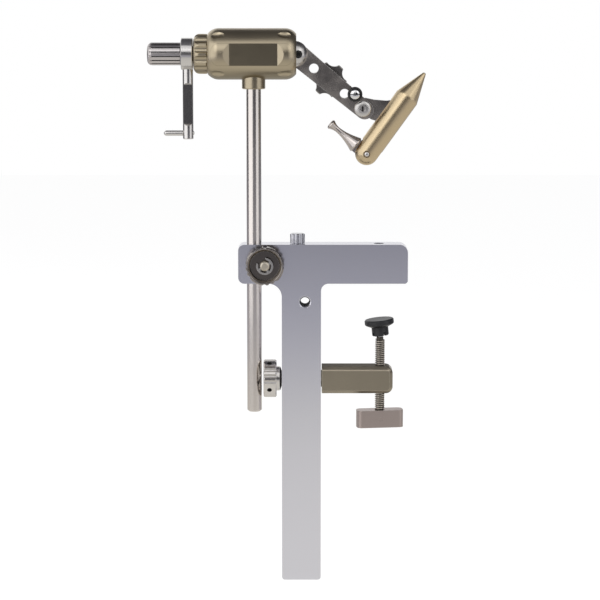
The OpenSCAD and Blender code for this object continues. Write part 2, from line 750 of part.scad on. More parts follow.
// Housing: turned barrel with a milled front flat and four scallops at each end
module shoulder_profile() {
    mid_r = housing_r - shoulder_r;
    turn = asin(shoulder_l / shoulder_r);
    front = arc_points([mid_r, housing_x1 - shoulder_l], shoulder_r, shoulder_r, 0, turn, 8);
    rear = arc_points([mid_r, housing_x0 + shoulder_l], shoulder_r, shoulder_r, -turn, 0, 8);
    polygon(concat([[0, housing_x0]], rear, front, [[0, housing_x1]]));
}
module window_cut() {
    deep = housing_r + 1;
    slope = (housing_r + window_y) / window_ramp;
    x0 = stem_x - window_back - window_l / 2;
    x1 = x0 + window_l;
    run = window_ramp + 1 / slope;
    translate([0, 0, head_z - 2 * window_half]) linear_extrude(4 * window_half)
        polygon([[x0, window_y], [x1, window_y], [x1 + run, -deep], [x0 - run, -deep]]);
}
module housing() {
    color(bronze) difference() {
        translate([0, 0, head_z]) rotate([0, 90, 0]) rotate_extrude() shoulder_profile();
        window_cut();
        translate([0, 0, head_z]) {
            for (x = [housing_x0 + 5.6, housing_x1 - 6.4], a = [1, -1, 3, -3])
                rotate([a * scallop_angle, 0, 0])
                translate([x, -housing_r - scallop_cutter_r + scallop_depth, 0]) rotate_extrude()
                    translate([scallop_cutter_r - scallop_rim_r, 0]) circle(scallop_rim_r);
            bar_along_x(housing_x0 - 1, housing_x1 + 1, bush_r + seat_gap);
            bar_along_x(nose_floor, housing_x1 + 1, nose_bore_r);
            bar_along_x(housing_x0 - 1, rear_floor, spigot_r + run_gap);
        }
        translate([stem_x, 0, 0]) bar_along_z(head_z - housing_r - 2, collar_z1 + 0.2, collar_r + seat_gap);
    }
}
module stem_collar() {
    color(bronze) translate([stem_x, 0, 0]) difference() {
        rotate_extrude() polygon([[0, collar_z0], [collar_r - 0.5, collar_z0], [collar_r, collar_z0 + 0.5],
            [collar_r, collar_z1], [0, collar_z1]]);
        bar_along_z(collar_z0 - 1, stem_top + 0.2, stem_r + run_gap);
        translate([0, 0, grub_z]) bar_along_y(0, collar_r + 1, grub_r + seat_gap);
    }
}
module collar_set_screw() {
    color(dark_steel) translate([stem_x, 0, grub_z]) difference() {
        bar_along_y(stem_r + run_gap, collar_r - 0.2, grub_r);
        translate([0, collar_r - 1.4, 0]) rotate([-90, 0, 0]) cylinder(h = 2, r = 0.75, $fn = 6);
    }
}
module bush(x0, x1) {
    color(bronze) translate([0, 0, head_z]) difference() {
        bar_along_x(x0, x1, bush_r);
        bar_along_x(x0 - 1, x1 + 1, spindle_r + run_gap);
    }
}
module front_bush() {
    bush(nose_floor - front_bush_l, nose_floor);
}
module rear_bush() {
    bush(rear_floor, rear_floor + rear_bush_l);
}

// Spindle: forked nose, journal in the bushes and a tail for the crank
module spindle() {
    seat_x = nose_floor + face_gap;
    slot_floor = pivot_x - link_rear - free_gap;
    slot_l = nose_x + nose_r + 1 - slot_floor;
    color(steel) translate([0, 0, head_z]) difference() {
        union() {
            bar_along_x(seat_x, nose_x, nose_r);
            translate([nose_x, 0, 0]) sphere(nose_r);
            bar_along_x(drag_x0, seat_x + eps, spindle_r);
            bar_along_x(tail_x0, drag_x0 + eps, tail_r);
        }
        translate([slot_floor, -link_t / 2 - face_gap, -nose_r - 1])
            cube([slot_l, link_t + 2 * face_gap, 2 * nose_r + 2]);
        translate([pivot_x, 0, 0]) bar_along_y(-nose_r - 1, nose_r + 1, pivot_r + seat_gap);
        translate([(hub_x0 + hub_x1) / 2, 0, 0]) bar_along_y(tail_r - 0.5, tail_r + 1, grub_r + seat_gap);
    }
}
module arm_pivot_screw() {
    y1 = nose_r - 1.4;
    socket_h = 2.4;
    color(dark_steel) translate([pivot_x, 0, head_z]) difference() {
        bar_along_y(-y1, y1, pivot_r);
        translate([0, -y1 - 1, 0]) rotate([-90, 0, 0]) cylinder(h = socket_h + 1, r = 1.5, $fn = 6);
    }
}
module thrust_washer() {
    color(black) translate([0, 0, head_z]) difference() {
        bar_along_x(thrust_x, drag_x0, spindle_r + 0.1);
        bar_along_x(thrust_x - 1, drag_x0 + 1, tail_r + seat_gap);
    }
}

// Friction ring, split once, squeezed by the drag knob's spigot
module drag_ring() {
    x0 = rear_floor - ring_t;
    color(black) translate([0, 0, head_z]) difference() {
        bar_along_x(x0, rear_floor, spigot_r - 0.1);
        bar_along_x(x0 - 1, rear_floor + 1, spindle_r + run_gap);
        translate([x0 - 1, -0.5, 0]) cube([ring_t + 2, 1, spigot_r + 1]);
    }
}
module drag_knob() {
    edge = 3.8;
    rim = arc_points([drag_r - edge, drag_x0 + edge], edge, edge, -90, 0, 8);
    color(bronze) translate([0, 0, head_z]) difference() {
        turned_x(concat([[0, drag_x0]], rim, [[drag_r, drag_x1 - 0.5], [drag_r - 0.5, drag_x1],
            [spigot_r, drag_x1],
            [spigot_r, drag_x1 + spigot_l], [0, drag_x1 + spigot_l]]));
        bar_along_x(drag_x0 - 1, drag_x1 + spigot_l + 1, spindle_r + free_gap);
        rim_flutes_x(drag_x0 - 1, drag_x1 + eps, drag_r, drag_flutes, 3, 1.4);
    }
}

// Crank: disc hub and round rod in one piece, with a flat for the finger
module crank() {
    flat_y = -rod_r + rod_flat;
    flat_z1 = head_z - flat_start;
    flat_z0 = flat_z1 - flat_l;
    color(steel) difference() {
        union() {
            translate([0, 0, head_z]) turned_x([[0, hub_x0], [hub_r - 0.4, hub_x0], [hub_r, hub_x0 + 0.4],
                [hub_r, hub_x1 - 0.4], [hub_r - 0.4, hub_x1], [0, hub_x1]]);
            translate([rod_x, 0, 0]) rotate_extrude() polygon([[0, rod_foot], [rod_r - 0.5, rod_foot],
                [rod_r, rod_foot + 0.5], [rod_r, head_z - hub_r / 2], [0, head_z - hub_r / 2]]);
        }
        translate([0, 0, head_z]) bar_along_x(hub_x0 - 1, hub_x1 + 1, tail_r + seat_gap);
        translate([rod_x - rod_r - 1, 0, 0]) rotate([90, 0, 90]) linear_extrude(2 * rod_r + 2)
            polygon([[flat_y, flat_z0], [flat_y, flat_z1], [-rod_r - eps, flat_z1 + rod_flat],
                [-rod_r - eps, flat_z0 - rod_flat]]);
        translate([rod_x - rod_r - 1, 0, crank_pin_z]) bar_along_x(0, 2 * rod_r + 2, pin_r * 0.7 + seat_gap);
        translate([(hub_x0 + hub_x1) / 2, 0, head_z]) bar_along_y(tail_r - 1, hub_r + 1, grub_r + seat_gap);
    }
}
module crank_pin() {
    x0 = rod_x - rod_r - pin_out;
    neck = pin_r * 0.7;
    seat = rod_x - rod_r;
    tip = arc_points([0, x0 + pin_r], pin_r, pin_r, -90, 0, 5);
    color(steel) translate([0, 0, crank_pin_z]) turned_x(concat(tip, [[pin_r, seat], [neck, seat],
        [neck, rod_x + rod_r + 0.1], [neck - 0.3, rod_x + rod_r + 0.5], [0, rod_x + rod_r + 0.6]]));
}
module crank_set_screw() {
    color(dark_steel) translate([(hub_x0 + hub_x1) / 2, 0, head_z]) difference() {
        bar_along_y(tail_r - 0.4, hub_r - 0.4, grub_r);
        translate([0, hub_r - 1.8, 0]) rotate([-90, 0, 0]) cylinder(h = 2, r = 0.75, $fn = 6);
    }
}
module finger_knob() {
    dome_at = [finger_r - finger_end_r, finger_x0 + finger_end_r];
    dome = arc_points(dome_at, finger_end_r, finger_end_r, -90, 0, 6);
    color(steel) translate([0, 0, head_z]) difference() {
        turned_x(concat([[0, finger_x0]], dome, [[finger_r, finger_x1 - 0.4], [finger_r - 0.4, finger_x1],
            [0, finger_x1]]));
        bar_along_x(tail_x0 - 0.5, finger_x1 + 1, tail_r + run_gap);
        rim_flutes_x(finger_x0 + 1.2, finger_x1 + 1, finger_r, finger_flutes, 0.55, 0.9);
    }
}

// Offset arm: flat bar with round ends, two holes and a slit that grips the tang
module link_outline() {
    upper_end = arc_points([-link_before, -link_off], link_half, link_half, 270, 90, 20);
    lower_end = arc_points([link_l + link_past, 0], link_half_low, link_half_low, 90, -90, 20);
    polygon(concat(upper_end, lower_end));
}
module offset_arm() {
    color(dark_steel) on_link() difference() {
        plate(link_t) link_outline();
        translate([slit_at, -link_slit / 2, -link_half - 1]) cube([link_l, link_slit, 2 * link_half + 2]);
        translate([pinch_at, 0, 0]) bar_along_y(-link_t / 2 + 0.9, link_t, pinch_r + run_gap);
        for (x = [light_1, light_2]) translate([x, 0, -link_off * (1 - x / link_l)])
            bar_along_y(-link_t, link_t, light_r);
        for (x = [0, link_l]) translate([x, 0, 0]) bar_along_y(-link_t, link_t, pivot_r + run_gap);
        translate([keeper_at, 0, keeper_off]) bar_along_y(-link_t, 0, keeper_pin_r + seat_gap);
    }
}
module pinch_screw() {
    color(steel) on_link() translate([pinch_at, 0, 0])
        bar_along_y(-link_t / 2 + 1.1, star_y + star_t - 1, pinch_r);
}
module star_knob() {
    lobe = 360 / star_lobes;
    scoop_r = 5.4;
    scoop_at = star_r + 3.1;
    color(dark_steel) on_link() translate([pinch_at, 0, 0]) difference() {
        turned_y([[0, star_y], [6, star_y], [6, star_y + 1], [star_r - 0.5, star_y + 1],
            [star_r, star_y + 1.5],
            [star_r, star_y + star_t - 0.5], [star_r - 0.5, star_y + star_t], [0, star_y + star_t]]);
        for (i = [0:star_lobes - 1]) rotate([0, lobe * i + 3, 0]) translate([scoop_at, 0, 0])
            bar_along_y(star_y - 1, star_y + star_t + 1, scoop_r);
        bar_along_y(star_y - 1, star_y + star_t - 1 + seat_gap, pinch_r + seat_gap);
    }
}

// Material keeper: a rubber ring in the groove of a polished button
module keeper_button() {
    groove_r = keeper_r - 0.9;
    dome = arc_points([0, keeper_y2], keeper_r, 1.4, 0, -90, 5);
    color(steel) on_link() translate([keeper_at, 0, keeper_off]) turned_y(concat([[0, keeper_y0 + 1.9],
        [keeper_pin_r, keeper_y0 + 1.9], [keeper_pin_r, keeper_y0], [keeper_r, keeper_y0],
        [keeper_r, keeper_y1], [groove_r, keeper_y1], [groove_r, keeper_y2]], dome));
}
module keeper_ring() {
    bore = keeper_r - 0.9 + seat_gap;
    mid = (keeper_ring_r + bore) / 2;
    half = (keeper_ring_r - bore) / 2 + seat_gap;
    color(black) on_link() translate([keeper_at, (keeper_y1 + keeper_y2) / 2, keeper_off])
        rotate([90, 0, 0]) rotate_extrude() difference() {
            translate([mid, 0]) circle(half);
            translate([0, -half - 1]) square([bore, 2 * half + 2]);
        }
}

// Lower pivot: a socket button screw through both cheeks and the tang
module jaw_pivot_screw() {
    head = arc_points([1.9, -head_out], pivot_head_r - 1.9, pivot_head_h, 0, -90, 6);
    foot = link_t / 2 - 0.4;
    color(steel) on_link() translate([link_l, 0, 0]) difference() {
        turned_y(concat([[0, foot], [pivot_r, foot], [pivot_r, -head_out]], head,
            [[0, -head_out - pivot_head_h]]));
        translate([0, -head_out - pivot_head_h - 1, 0]) rotate([-90, 0, 0])
            cylinder(h = 3.6, r = 1.9, $fn = 6);
    }
}

// Tang: plate from the lower pivot into the slit between the jaws
module tang_outline() {
    difference() {
        union() {
            translate([pivot_u, pivot_v]) circle(knuckle_r);
            polygon([[pivot_u - 2.6, pivot_v - 5.4], [pivot_u - 2.4, pivot_v - 8.6], [tang_u, jaw_r + 0.2],
                [tang_u, tang_v], [tang_u + tang_l, tang_v], [tang_u + tang_l, jaw_r - 0.5],
                [tang_u + tang_l - 2.2, pivot_v - 9.4], [pivot_u + 8.9, pivot_v - 2.6],
                [pivot_u + 6.5, pivot_v + 2.8], [pivot_u, pivot_v + knuckle_r - 1]]);
        }
        translate([pivot_u, pivot_v]) circle(pivot_r + run_gap);
        translate([adjust_u, 0]) circle(adjust_r + free_gap);
        for (p = dowel_places) translate(p) circle(dowel_r + seat_gap);
    }
}
module jaw_tang() {
    color(dark_steel) on_jaw() plate(tang_t) tang_outline();
}

// Both jaws are turned as one and slit along y = 0
module jaw_body() {
    rotate([0, 90, 0]) {
        rotate_extrude() polygon([[0, 0], [jaw_r, 0], [jaw_r, cone_u], [tip_r, jaw_l - tip_r / 2],
            [tip_r * 0.6, jaw_l], [0, jaw_l]]);
        sphere(jaw_r);
    }
}
module tang_pocket(depth, gap) {
    translate([tang_u - gap, -depth, tang_v - gap])
        cube([tang_l + 2 * gap, 2 * depth, jaw_r - tang_v + gap]);
}
module jaw_front() {
    color(gold) on_jaw() difference() {
        jaw_body();
        translate([-jaw_r - 1, -jaw_gap / 2, -jaw_r - 1])
            cube([jaw_l + jaw_r + 2, jaw_r + 2, 2 * jaw_r + 2]);
        tang_pocket(tang_t / 2, 0.1);
        translate([-jaw_r - 1, -cam_slot, -jaw_r - 1])
            cube([jaw_r + 1 + cam_r + 1.2, 2 * cam_slot, 2 * jaw_r + 2]);
        bar_along_y(-jaw_r - 1, 0, lever_pin_r + seat_gap);
        bar_along_y(-jaw_r - 1, -jaw_r + 1.5, lever_pin_r + 0.75);
        translate([adjust_u, 0, 0]) bar_along_y(-jaw_r + 2.4, 1, adjust_r + run_gap);
        for (p = dowel_places) translate([p[0], 0, p[1]]) bar_along_y(-4.2, 1, dowel_r + seat_gap);
    }
}
module jaw_dowels() {
    color(steel) on_jaw() for (p = dowel_places) translate([p[0], 0, p[1]])
        bar_along_y(-4, tang_t / 2 - 0.1, dowel_r);
}

// The rear jaw is cut away behind the adjusting screw, so that it can rock
module jaw_back() {
    rock = jaw_rock + 0.3;
    slot_u = [-jaw_r - 1, cam_r + 1.5];
    slot_wall = [for (u = slot_u) cam_slot + (adjust_u - u) * tan(rock)];
    color(gold) on_jaw() difference() {
        jaw_body();
        translate([-jaw_r - 1, jaw_gap / 2 - jaw_r - 2, -jaw_r - 1])
            cube([jaw_l + jaw_r + 2, jaw_r + 2, 2 * jaw_r + 2]);
        translate([adjust_u, jaw_gap / 2, 0]) rotate([0, 0, -rock])
            translate([-2 * jaw_l, -2 * jaw_r, -jaw_r - 1]) cube([2 * jaw_l, 2 * jaw_r, 2 * jaw_r + 2]);
        tang_pocket(tang_t / 2 + 2 * free_gap, free_gap);
        translate([0, 0, -jaw_r - 1]) linear_extrude(2 * jaw_r + 2)
            polygon([[slot_u[0], -jaw_r], [slot_u[1], -jaw_r], [slot_u[1], slot_wall[1]],
                [slot_u[0], slot_wall[0]]]);
        bar_along_y(0, jaw_r + 1, lever_pin_r + 0.5);
        translate([adjust_u, 0, 0]) {
            bar_along_y(-1, jaw_r + 1, adjust_r + free_gap);
            bar_along_y(-1, spring_y1 + 0.1, spring_r + free_gap);
            bar_along_y(spot_y, jaw_r + 1, adjust_head_r + 0.6);
        }
    }
}
module jaw_adjusting_screw() {
    y0 = spot_y + free_gap;
    color(steel) on_jaw() translate([adjust_u, 0, 0]) difference() {
        turned_y([[0, -jaw_r + 2.6], [adjust_r, -jaw_r + 2.6], [adjust_r, y0], [adjust_head_r, y0],
            [adjust_head_r, y0 + adjust_head_h - 0.4], [adjust_head_r - 0.4, y0 + adjust_head_h],
            [0, y0 + adjust_head_h]]);
        translate([-adjust_head_r - 1, y0 + adjust_head_h - 1, -0.4]) cube([2 * adjust_head_r + 2, 2, 0.8]);
    }
}
module jaw_spring() {
    inner = adjust_r + free_gap;
    color(steel) on_jaw() translate([adjust_u, 0, 0]) turned_y([[inner, spring_y0 + 0.7],
        [spring_r, spring_y0], [spring_r, spring_y0 + 0.5], [inner, spring_y0 + 1.2]]);
}

// Cam lever: a turned handle with a flat cam that spreads the tails of the jaws
module cam_lever() {
    root = lever_clear + 0.9;
    neck = lever_l - 6.8;
    span = neck - root;
    lip_r = 1.6;
    foot = [[0, lever_clear], [lever_root_r - 0.4, lever_clear], [lever_root_r, lever_clear + 0.4]];
    flare = [for (i = [0:6]) let (t = i / 6) [lever_neck_r + (lever_root_r - lever_neck_r)
        * pow(1 - t, 1.7), root + span * t]];
    bell = [for (i = [1:5]) let (t = i / 5) [lever_neck_r + (lever_end_r - 0.15 - lever_neck_r)
        * pow(t, 2.2), neck + (lever_l - lip_r - neck) * t]];
    lip = arc_points([lever_end_r - lip_r, lever_l - lip_r], lip_r, lip_r, 10, 90, 4);
    color(steel) translate([jaw_x, 0, jaw_z]) rotate([0, -lever_angle, 0]) difference() {
        union() {
            turned_x(concat(foot, flare, bell, lip, [[0, lever_l]]));
            bar_along_y(-cam_t / 2, cam_t / 2, cam_r);
            translate([0, -cam_t / 2, -cam_r + 0.7]) cube([lever_clear + 1, cam_t, 2 * cam_r - 1.4]);
        }
        bar_along_y(-cam_t, cam_t, lever_pin_r + run_gap);
    }
}
module lever_pin() {
    tip_y = -jaw_r + 0.5;
    dome = arc_points([0, tip_y], lever_pin_r, 0.7, 0, -90, 4);
    color(steel) on_jaw() turned_y(concat([[0, jaw_r - 1.2], [lever_pin_r, jaw_r - 1.2],
        [lever_pin_r, tip_y]], dome));
}

clamp_frame();
thumb_screw();
stem();
stem_clamp_cotter();
stem_clamp_washer();
stem_clamp_knob();
retaining_clip();
clamp_arm();
arm_stud();
arm_knob_washer();
clamp_arm_knob();
clamp_screw();
clamp_bar();
clamp_bar_pin();
ball_stud();
swivel_pad();
housing();
stem_collar();
collar_set_screw();
front_bush();
rear_bush();
spindle();
thrust_washer();
drag_ring();
drag_knob();
crank();
crank_pin();
crank_set_screw();
finger_knob();
arm_pivot_screw();
offset_arm();
pinch_screw();
star_knob();
keeper_button();
keeper_ring();
jaw_pivot_screw();
jaw_tang();
jaw_front();
jaw_dowels();
jaw_back();
jaw_adjusting_screw();
jaw_spring();
cam_lever();
lever_pin();
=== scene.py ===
"""Looks of a rotary fly tying vise on a table clamp, in metres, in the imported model's frame."""

import math

import bmesh
import bpy
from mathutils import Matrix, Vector


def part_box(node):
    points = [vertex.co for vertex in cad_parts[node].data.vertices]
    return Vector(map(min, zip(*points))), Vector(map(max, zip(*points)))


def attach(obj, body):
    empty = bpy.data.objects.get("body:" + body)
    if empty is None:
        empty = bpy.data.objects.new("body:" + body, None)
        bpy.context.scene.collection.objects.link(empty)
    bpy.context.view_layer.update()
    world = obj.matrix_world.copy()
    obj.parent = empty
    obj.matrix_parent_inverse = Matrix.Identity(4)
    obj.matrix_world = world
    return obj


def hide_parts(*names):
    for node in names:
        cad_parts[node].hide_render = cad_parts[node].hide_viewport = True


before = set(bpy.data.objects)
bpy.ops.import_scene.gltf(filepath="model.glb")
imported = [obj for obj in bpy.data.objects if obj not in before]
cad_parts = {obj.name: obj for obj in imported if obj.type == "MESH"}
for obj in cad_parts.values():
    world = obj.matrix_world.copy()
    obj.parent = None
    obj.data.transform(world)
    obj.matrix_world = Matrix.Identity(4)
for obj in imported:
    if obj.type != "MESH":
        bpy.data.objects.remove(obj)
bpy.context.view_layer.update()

# Clamp frame
# One C-shaped piece sawn and milled from 16 mm aluminium plate, bead blasted and clear anodised.
# The long edges are broken by a small chamfer that shines brighter than the faces, its colour
# lightened by wear and by a painted highlight.
FRAME_COLOUR = (0.8, 0.8, 0.87)
FRAME_EDGE = 0.00045
CROSS_HOLE = (-0.0489, 0, -0.0119)
CROSS_HOLE_R = 0.00306
SAME_CORNER = 2e-6
SAME_PLANE_DEG = 0.2
SHARP_DEG = 32
X_AXIS = (1, 0, 0)
Y_AXIS = (0, 1, 0)
Z_AXIS = (0, 0, 1)


def smooth_below(angle_deg):
    """Geometry nodes group that shades a mesh smooth, except over edges sharper than the angle."""
    name = f"smooth_below_{angle_deg}"
    if name in bpy.data.node_groups:
        return bpy.data.node_groups[name]
    group = bpy.data.node_groups.new(name, "GeometryNodeTree")
    for way in ("INPUT", "OUTPUT"):
        group.interface.new_socket("Geometry", in_out=way, socket_type="NodeSocketGeometry")
    start = group.nodes.new("NodeGroupInput")
    end = group.nodes.new("NodeGroupOutput")
    faces = group.nodes.new("GeometryNodeSetShadeSmooth")
    faces.domain = "FACE"
    edges = group.nodes.new("GeometryNodeSetShadeSmooth")
    edges.domain = "EDGE"
    angle = group.nodes.new("GeometryNodeInputMeshEdgeAngle")
    below = group.nodes.new("FunctionNodeCompare")
    below.data_type = "FLOAT"
    below.operation = "LESS_THAN"
    below.inputs[1].default_value = math.radians(angle_deg)
    group.links.new(start.outputs[0], faces.inputs["Geometry"])
    group.links.new(faces.outputs[0], edges.inputs["Geometry"])
    group.links.new(angle.outputs["Unsigned Angle"], below.inputs[0])
    group.links.new(below.outputs[0], edges.inputs["Shade Smooth"])
    group.links.new(edges.outputs[0], end.inputs[0])
    return group


def break_edges(piece, width, segments, sharp):
    """Joins a piece's split corners, rounds its sharp edges and shades the rest smooth."""
    weld = piece.modifiers.new("join_corners", "WELD")
    weld.merge_threshold = SAME_CORNER
    flat = piece.modifiers.new("flat_faces", "DECIMATE")
    flat.decimate_type = "DISSOLVE"
    flat.angle_limit = math.radians(SAME_PLANE_DEG)
    if width > 0:
        rounding = piece.modifiers.new("broken_edges", "BEVEL")
        rounding.width = width
        rounding.segments = segments
        rounding.limit_method = "ANGLE"
        rounding.angle_limit = math.radians(sharp)
        rounding.loop_slide = False
        rounding.miter_outer = "MITER_ARC"
    shade = piece.modifiers.new("shading", "NODES")
    shade.node_group = smooth_below(sharp)
    if width > 0:
        weigh = piece.modifiers.new("flat_shading", "WEIGHTED_NORMAL")
        weigh.keep_sharp = True


def dress(node, material, width, segments=2, sharp=SHARP_DEG):
    """Gives a CAD node its finish and its broken edges."""
    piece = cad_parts[node]
    if not piece.material_slots:
        piece.data.materials.append(material)
    for place in piece.material_slots:
        place.material = material
    break_edges(piece, width, segments, sharp)


def feed(tree, socket, value):
    """Links an input to the socket that is given, or sets it to the value that is given."""
    if isinstance(value, bpy.types.NodeSocket):
        tree.links.new(value, socket)
    else:
        socket.default_value = value


def arithmetic(tree, operation, *values):
    """What a math node makes of sockets and numbers."""
    node = tree.nodes.new("ShaderNodeMath")
    node.operation = operation
    for socket, value in zip(node.inputs, values):
        feed(tree, socket, value)
    return node.outputs[0]


def vector_math(tree, operation, vector, other=None):
    """What a vector math node makes of a vector and, except for a length, something else."""
    node = tree.nodes.new("ShaderNodeVectorMath")
    node.operation = operation
    feed(tree, node.inputs[0], vector)
    if other is not None:
        feed(tree, node.inputs["Scale" if operation == "SCALE" else 1], other)
    return node.outputs["Value" if operation in ("LENGTH", "DOT_PRODUCT") else "Vector"]


def mapped(tree, value, low, high, first=0.0, last=1.0, shape="LINEAR"):
    """Maps a value from low..high to first..last, and holds it there beyond them."""
    node = tree.nodes.new("ShaderNodeMapRange")
    node.interpolation_type = shape
    for label, number in (("From Min", low), ("From Max", high), ("To Min", first),
                          ("To Max", last)):
        node.inputs[label].default_value = number
    tree.links.new(value, node.inputs["Value"])
    return node.outputs["Result"]


def noise(tree, vector, scale, detail, roughness=0.5):
    """The strength of a noise, from 0 to 1, over a vector."""
    node = tree.nodes.new("ShaderNodeTexNoise")
    node.inputs["Scale"].default_value = scale
    node.inputs["Detail"].default_value = detail
    node.inputs["Roughness"].default_value = roughness
    tree.links.new(vector, node.inputs["Vector"])
    return node.outputs["Fac"]


def group_of(name, inputs, outputs):
    """A new shader node group, with the sockets that bring it values and take its results."""
    group = bpy.data.node_groups.new(name, "ShaderNodeTree")
    for label, kind, value in inputs:
        socket = group.interface.new_socket(label, in_out="INPUT", socket_type=kind)
        socket.default_value = value
    for label, kind in outputs:
        group.interface.new_socket(label, in_out="OUTPUT", socket_type=kind)
    start = group.nodes.new("NodeGroupInput")
    end = group.nodes.new("NodeGroupOutput")
    return group, start.outputs, end.inputs


def surface_grain():
    """Noise stretched by a scale for each axis: blasting, brushing or turning marks, smudges."""
    if "surface_grain" in bpy.data.node_groups:
        return bpy.data.node_groups["surface_grain"]
    group, given, result = group_of("surface_grain", [
        ("Colour", "NodeSocketColor", (0.5, 0.5, 0.5, 1.0)),
        ("Scale", "NodeSocketVector", (1.0, 1.0, 1.0)),
        ("Contrast", "NodeSocketFloat", 0.1),
        ("Roughness", "NodeSocketFloat", 0.4),
        ("Spread", "NodeSocketFloat", 0.1),
        ("Smudge", "NodeSocketFloat", 0.05),
    ], [("Colour", "NodeSocketColor"), ("Roughness", "NodeSocketFloat"),
        ("Height", "NodeSocketFloat")])
    place = group.nodes.new("ShaderNodeTexCoord").outputs["Object"]
    stretched = vector_math(group, "MULTIPLY", place, given["Scale"])
    grain = noise(group, stretched, scale=1.0, detail=3.0, roughness=0.6)
    patches = noise(group, place, scale=55.0, detail=4.0)
    swing = arithmetic(group, "SUBTRACT", grain, 0.5)
    cloud = arithmetic(group, "SUBTRACT", patches, 0.5)
    shade = arithmetic(group, "MULTIPLY", swing, given["Contrast"])
    smear = arithmetic(group, "MULTIPLY", cloud, given["Smudge"])
    tone = arithmetic(group, "ADD", arithmetic(group, "ADD", shade, smear), 1.0)
    gloss = arithmetic(group, "MULTIPLY", swing, given["Spread"])
    haze = arithmetic(group, "MULTIPLY", cloud, arithmetic(group, "MULTIPLY", given["Smudge"], 2.0))
    rough = arithmetic(group, "ADD", arithmetic(group, "ADD", gloss, haze), given["Roughness"])
    group.links.new(vector_math(group, "SCALE", given["Colour"], tone), result["Colour"])
    group.links.new(rough, result["Roughness"])
    group.links.new(grain, result["Height"])
    return group


def worn_and_highlit_edges():
    """Lightens corners, found by comparing the normal with one rounded over them: rubbed wear and a
    painted edge highlight.
    """
    if "worn_and_highlit_edges" in bpy.data.node_groups:
        return bpy.data.node_groups["worn_and_highlit_edges"]
    group, given, result = group_of("worn_and_highlit_edges", [
        ("Colour", "NodeSocketColor", (0.5, 0.5, 0.5, 1.0)),
        ("Edge colour", "NodeSocketColor", (0.8, 0.8, 0.8, 1.0)),
        ("Width", "NodeSocketFloat", 0.0003),
        ("Amount", "NodeSocketFloat", 0.5),
    ], [("Colour", "NodeSocketColor")])
    rounded = group.nodes.new("ShaderNodeBevel")
    rounded.samples = 6
    group.links.new(given["Width"], rounded.inputs["Radius"])
    surface = group.nodes.new("ShaderNodeNewGeometry").outputs["Normal"]
    agreement = vector_math(group, "DOT_PRODUCT", rounded.outputs[0], surface)
    near = mapped(group, arithmetic(group, "SUBTRACT", 1.0, agreement), low=0.01, high=0.22)
    place = group.nodes.new("ShaderNodeTexCoord").outputs["Object"]
    patches = noise(group, place, scale=900.0, detail=2.0)
    patchy = arithmetic(group, "ADD", arithmetic(group, "MULTIPLY", patches, 0.8), 0.4)
    rub_and_highlight = arithmetic(group, "MULTIPLY", near, patchy)
    mask = group.nodes.new("ShaderNodeClamp")
    group.links.new(arithmetic(group, "MULTIPLY", rub_and_highlight, given["Amount"]), mask.inputs["Value"])
    blend = group.nodes.new("ShaderNodeMix")
    blend.data_type = "RGBA"
    group.links.new(mask.outputs[0], blend.inputs["Factor"])
    group.links.new(given["Colour"], blend.inputs["A"])
    group.links.new(given["Edge colour"], blend.inputs["B"])
    group.links.new(blend.outputs["Result"], result["Colour"])
    return group


def skin_of(material):
    """The main shader of a material."""
    return material.node_tree.nodes["Principled BSDF"]


def add_group(tree, group, values):
    """Puts a node group in a tree and sets its inputs by their names."""
    node = tree.nodes.new("ShaderNodeGroup")
    node.node_tree = group
    for label, value in values.items():
        node.inputs[label].default_value = value
    return node


def grained(name, colour, scale, roughness, contrast, spread, smudge, depth):
    """A new material with grain in its colour, roughness and height; the scale is per metre."""
    material = bpy.data.materials.new(name)
    material.use_nodes = True
    tree = material.node_tree
    skin = skin_of(material)
    grain = add_group(tree, surface_grain(), {
        "Colour": (*colour, 1.0), "Roughness": roughness, "Contrast": contrast, "Spread": spread,
        "Smudge": smudge, "Scale": scale if isinstance(scale, tuple) else (scale, scale, scale)})
    bump = tree.nodes.new("ShaderNodeBump")
    bump.inputs["Distance"].default_value = depth
    tree.links.new(grain.outputs["Height"], bump.inputs["Height"])
    tree.links.new(bump.outputs[0], skin.inputs["Normal"])
    tree.links.new(grain.outputs["Colour"], skin.inputs["Base Color"])
    tree.links.new(grain.outputs["Roughness"], skin.inputs["Roughness"])
    return material


def metal_finish(name, colour, scale, roughness, contrast=0.12, spread=0.12, smudge=0.06,
                 depth=0.000004, edge=None, edge_width=0.0003, edge_amount=0.6):
    """A metal surface with its grain, its smudges and, with an edge colour, its edges lightened by
    wear and by a painted highlight.
    """
    material = grained(name, colour, scale, roughness, contrast, spread, smudge, depth)
    skin = skin_of(material)
    skin.inputs["Metallic"].default_value = 1.0
    if edge is not None:
        tree = material.node_tree
        shown = skin.inputs["Base Color"].links[0].from_socket
        wear_and_highlight = add_group(tree, worn_and_highlit_edges(), {
            "Edge colour": (*edge, 1.0), "Width": edge_width, "Amount": edge_amount})
        tree.links.new(shown, wear_and_highlight.inputs["Colour"])
        tree.links.new(wear_and_highlight.outputs["Colour"], skin.inputs["Base Color"])
    return material


def toned_area(material, area, factor, roughen=0.0):
    """Scales the colour and adds roughness in an area: a mask made from texture coordinates."""
    tree = material.node_tree
    skin = skin_of(material)
    shown, rough = (skin.inputs[label].links[0].from_socket
                    for label in ("Base Color", "Roughness"))
    mask = area(tree, tree.nodes.new("ShaderNodeTexCoord").outputs)
    left = arithmetic(tree, "SUBTRACT", 1.0, arithmetic(tree, "MULTIPLY", mask, 1.0 - factor))
    added = arithmetic(tree, "MULTIPLY", mask, roughen)
    tree.links.new(vector_math(tree, "SCALE", shown, left), skin.inputs["Base Color"])
    tree.links.new(arithmetic(tree, "ADD", rough, added), skin.inputs["Roughness"])


def near_line(centre, direction, radius):
    """The area within a radius of a line through a centre along a direction of length one."""
    def area(tree, coordinates):
        off = vector_math(tree, "SUBTRACT", coordinates["Object"], centre)
        side = vector_math(tree, "CROSS_PRODUCT", off, direction)
        return arithmetic(tree, "LESS_THAN", vector_math(tree, "LENGTH", side), radius)
    return area
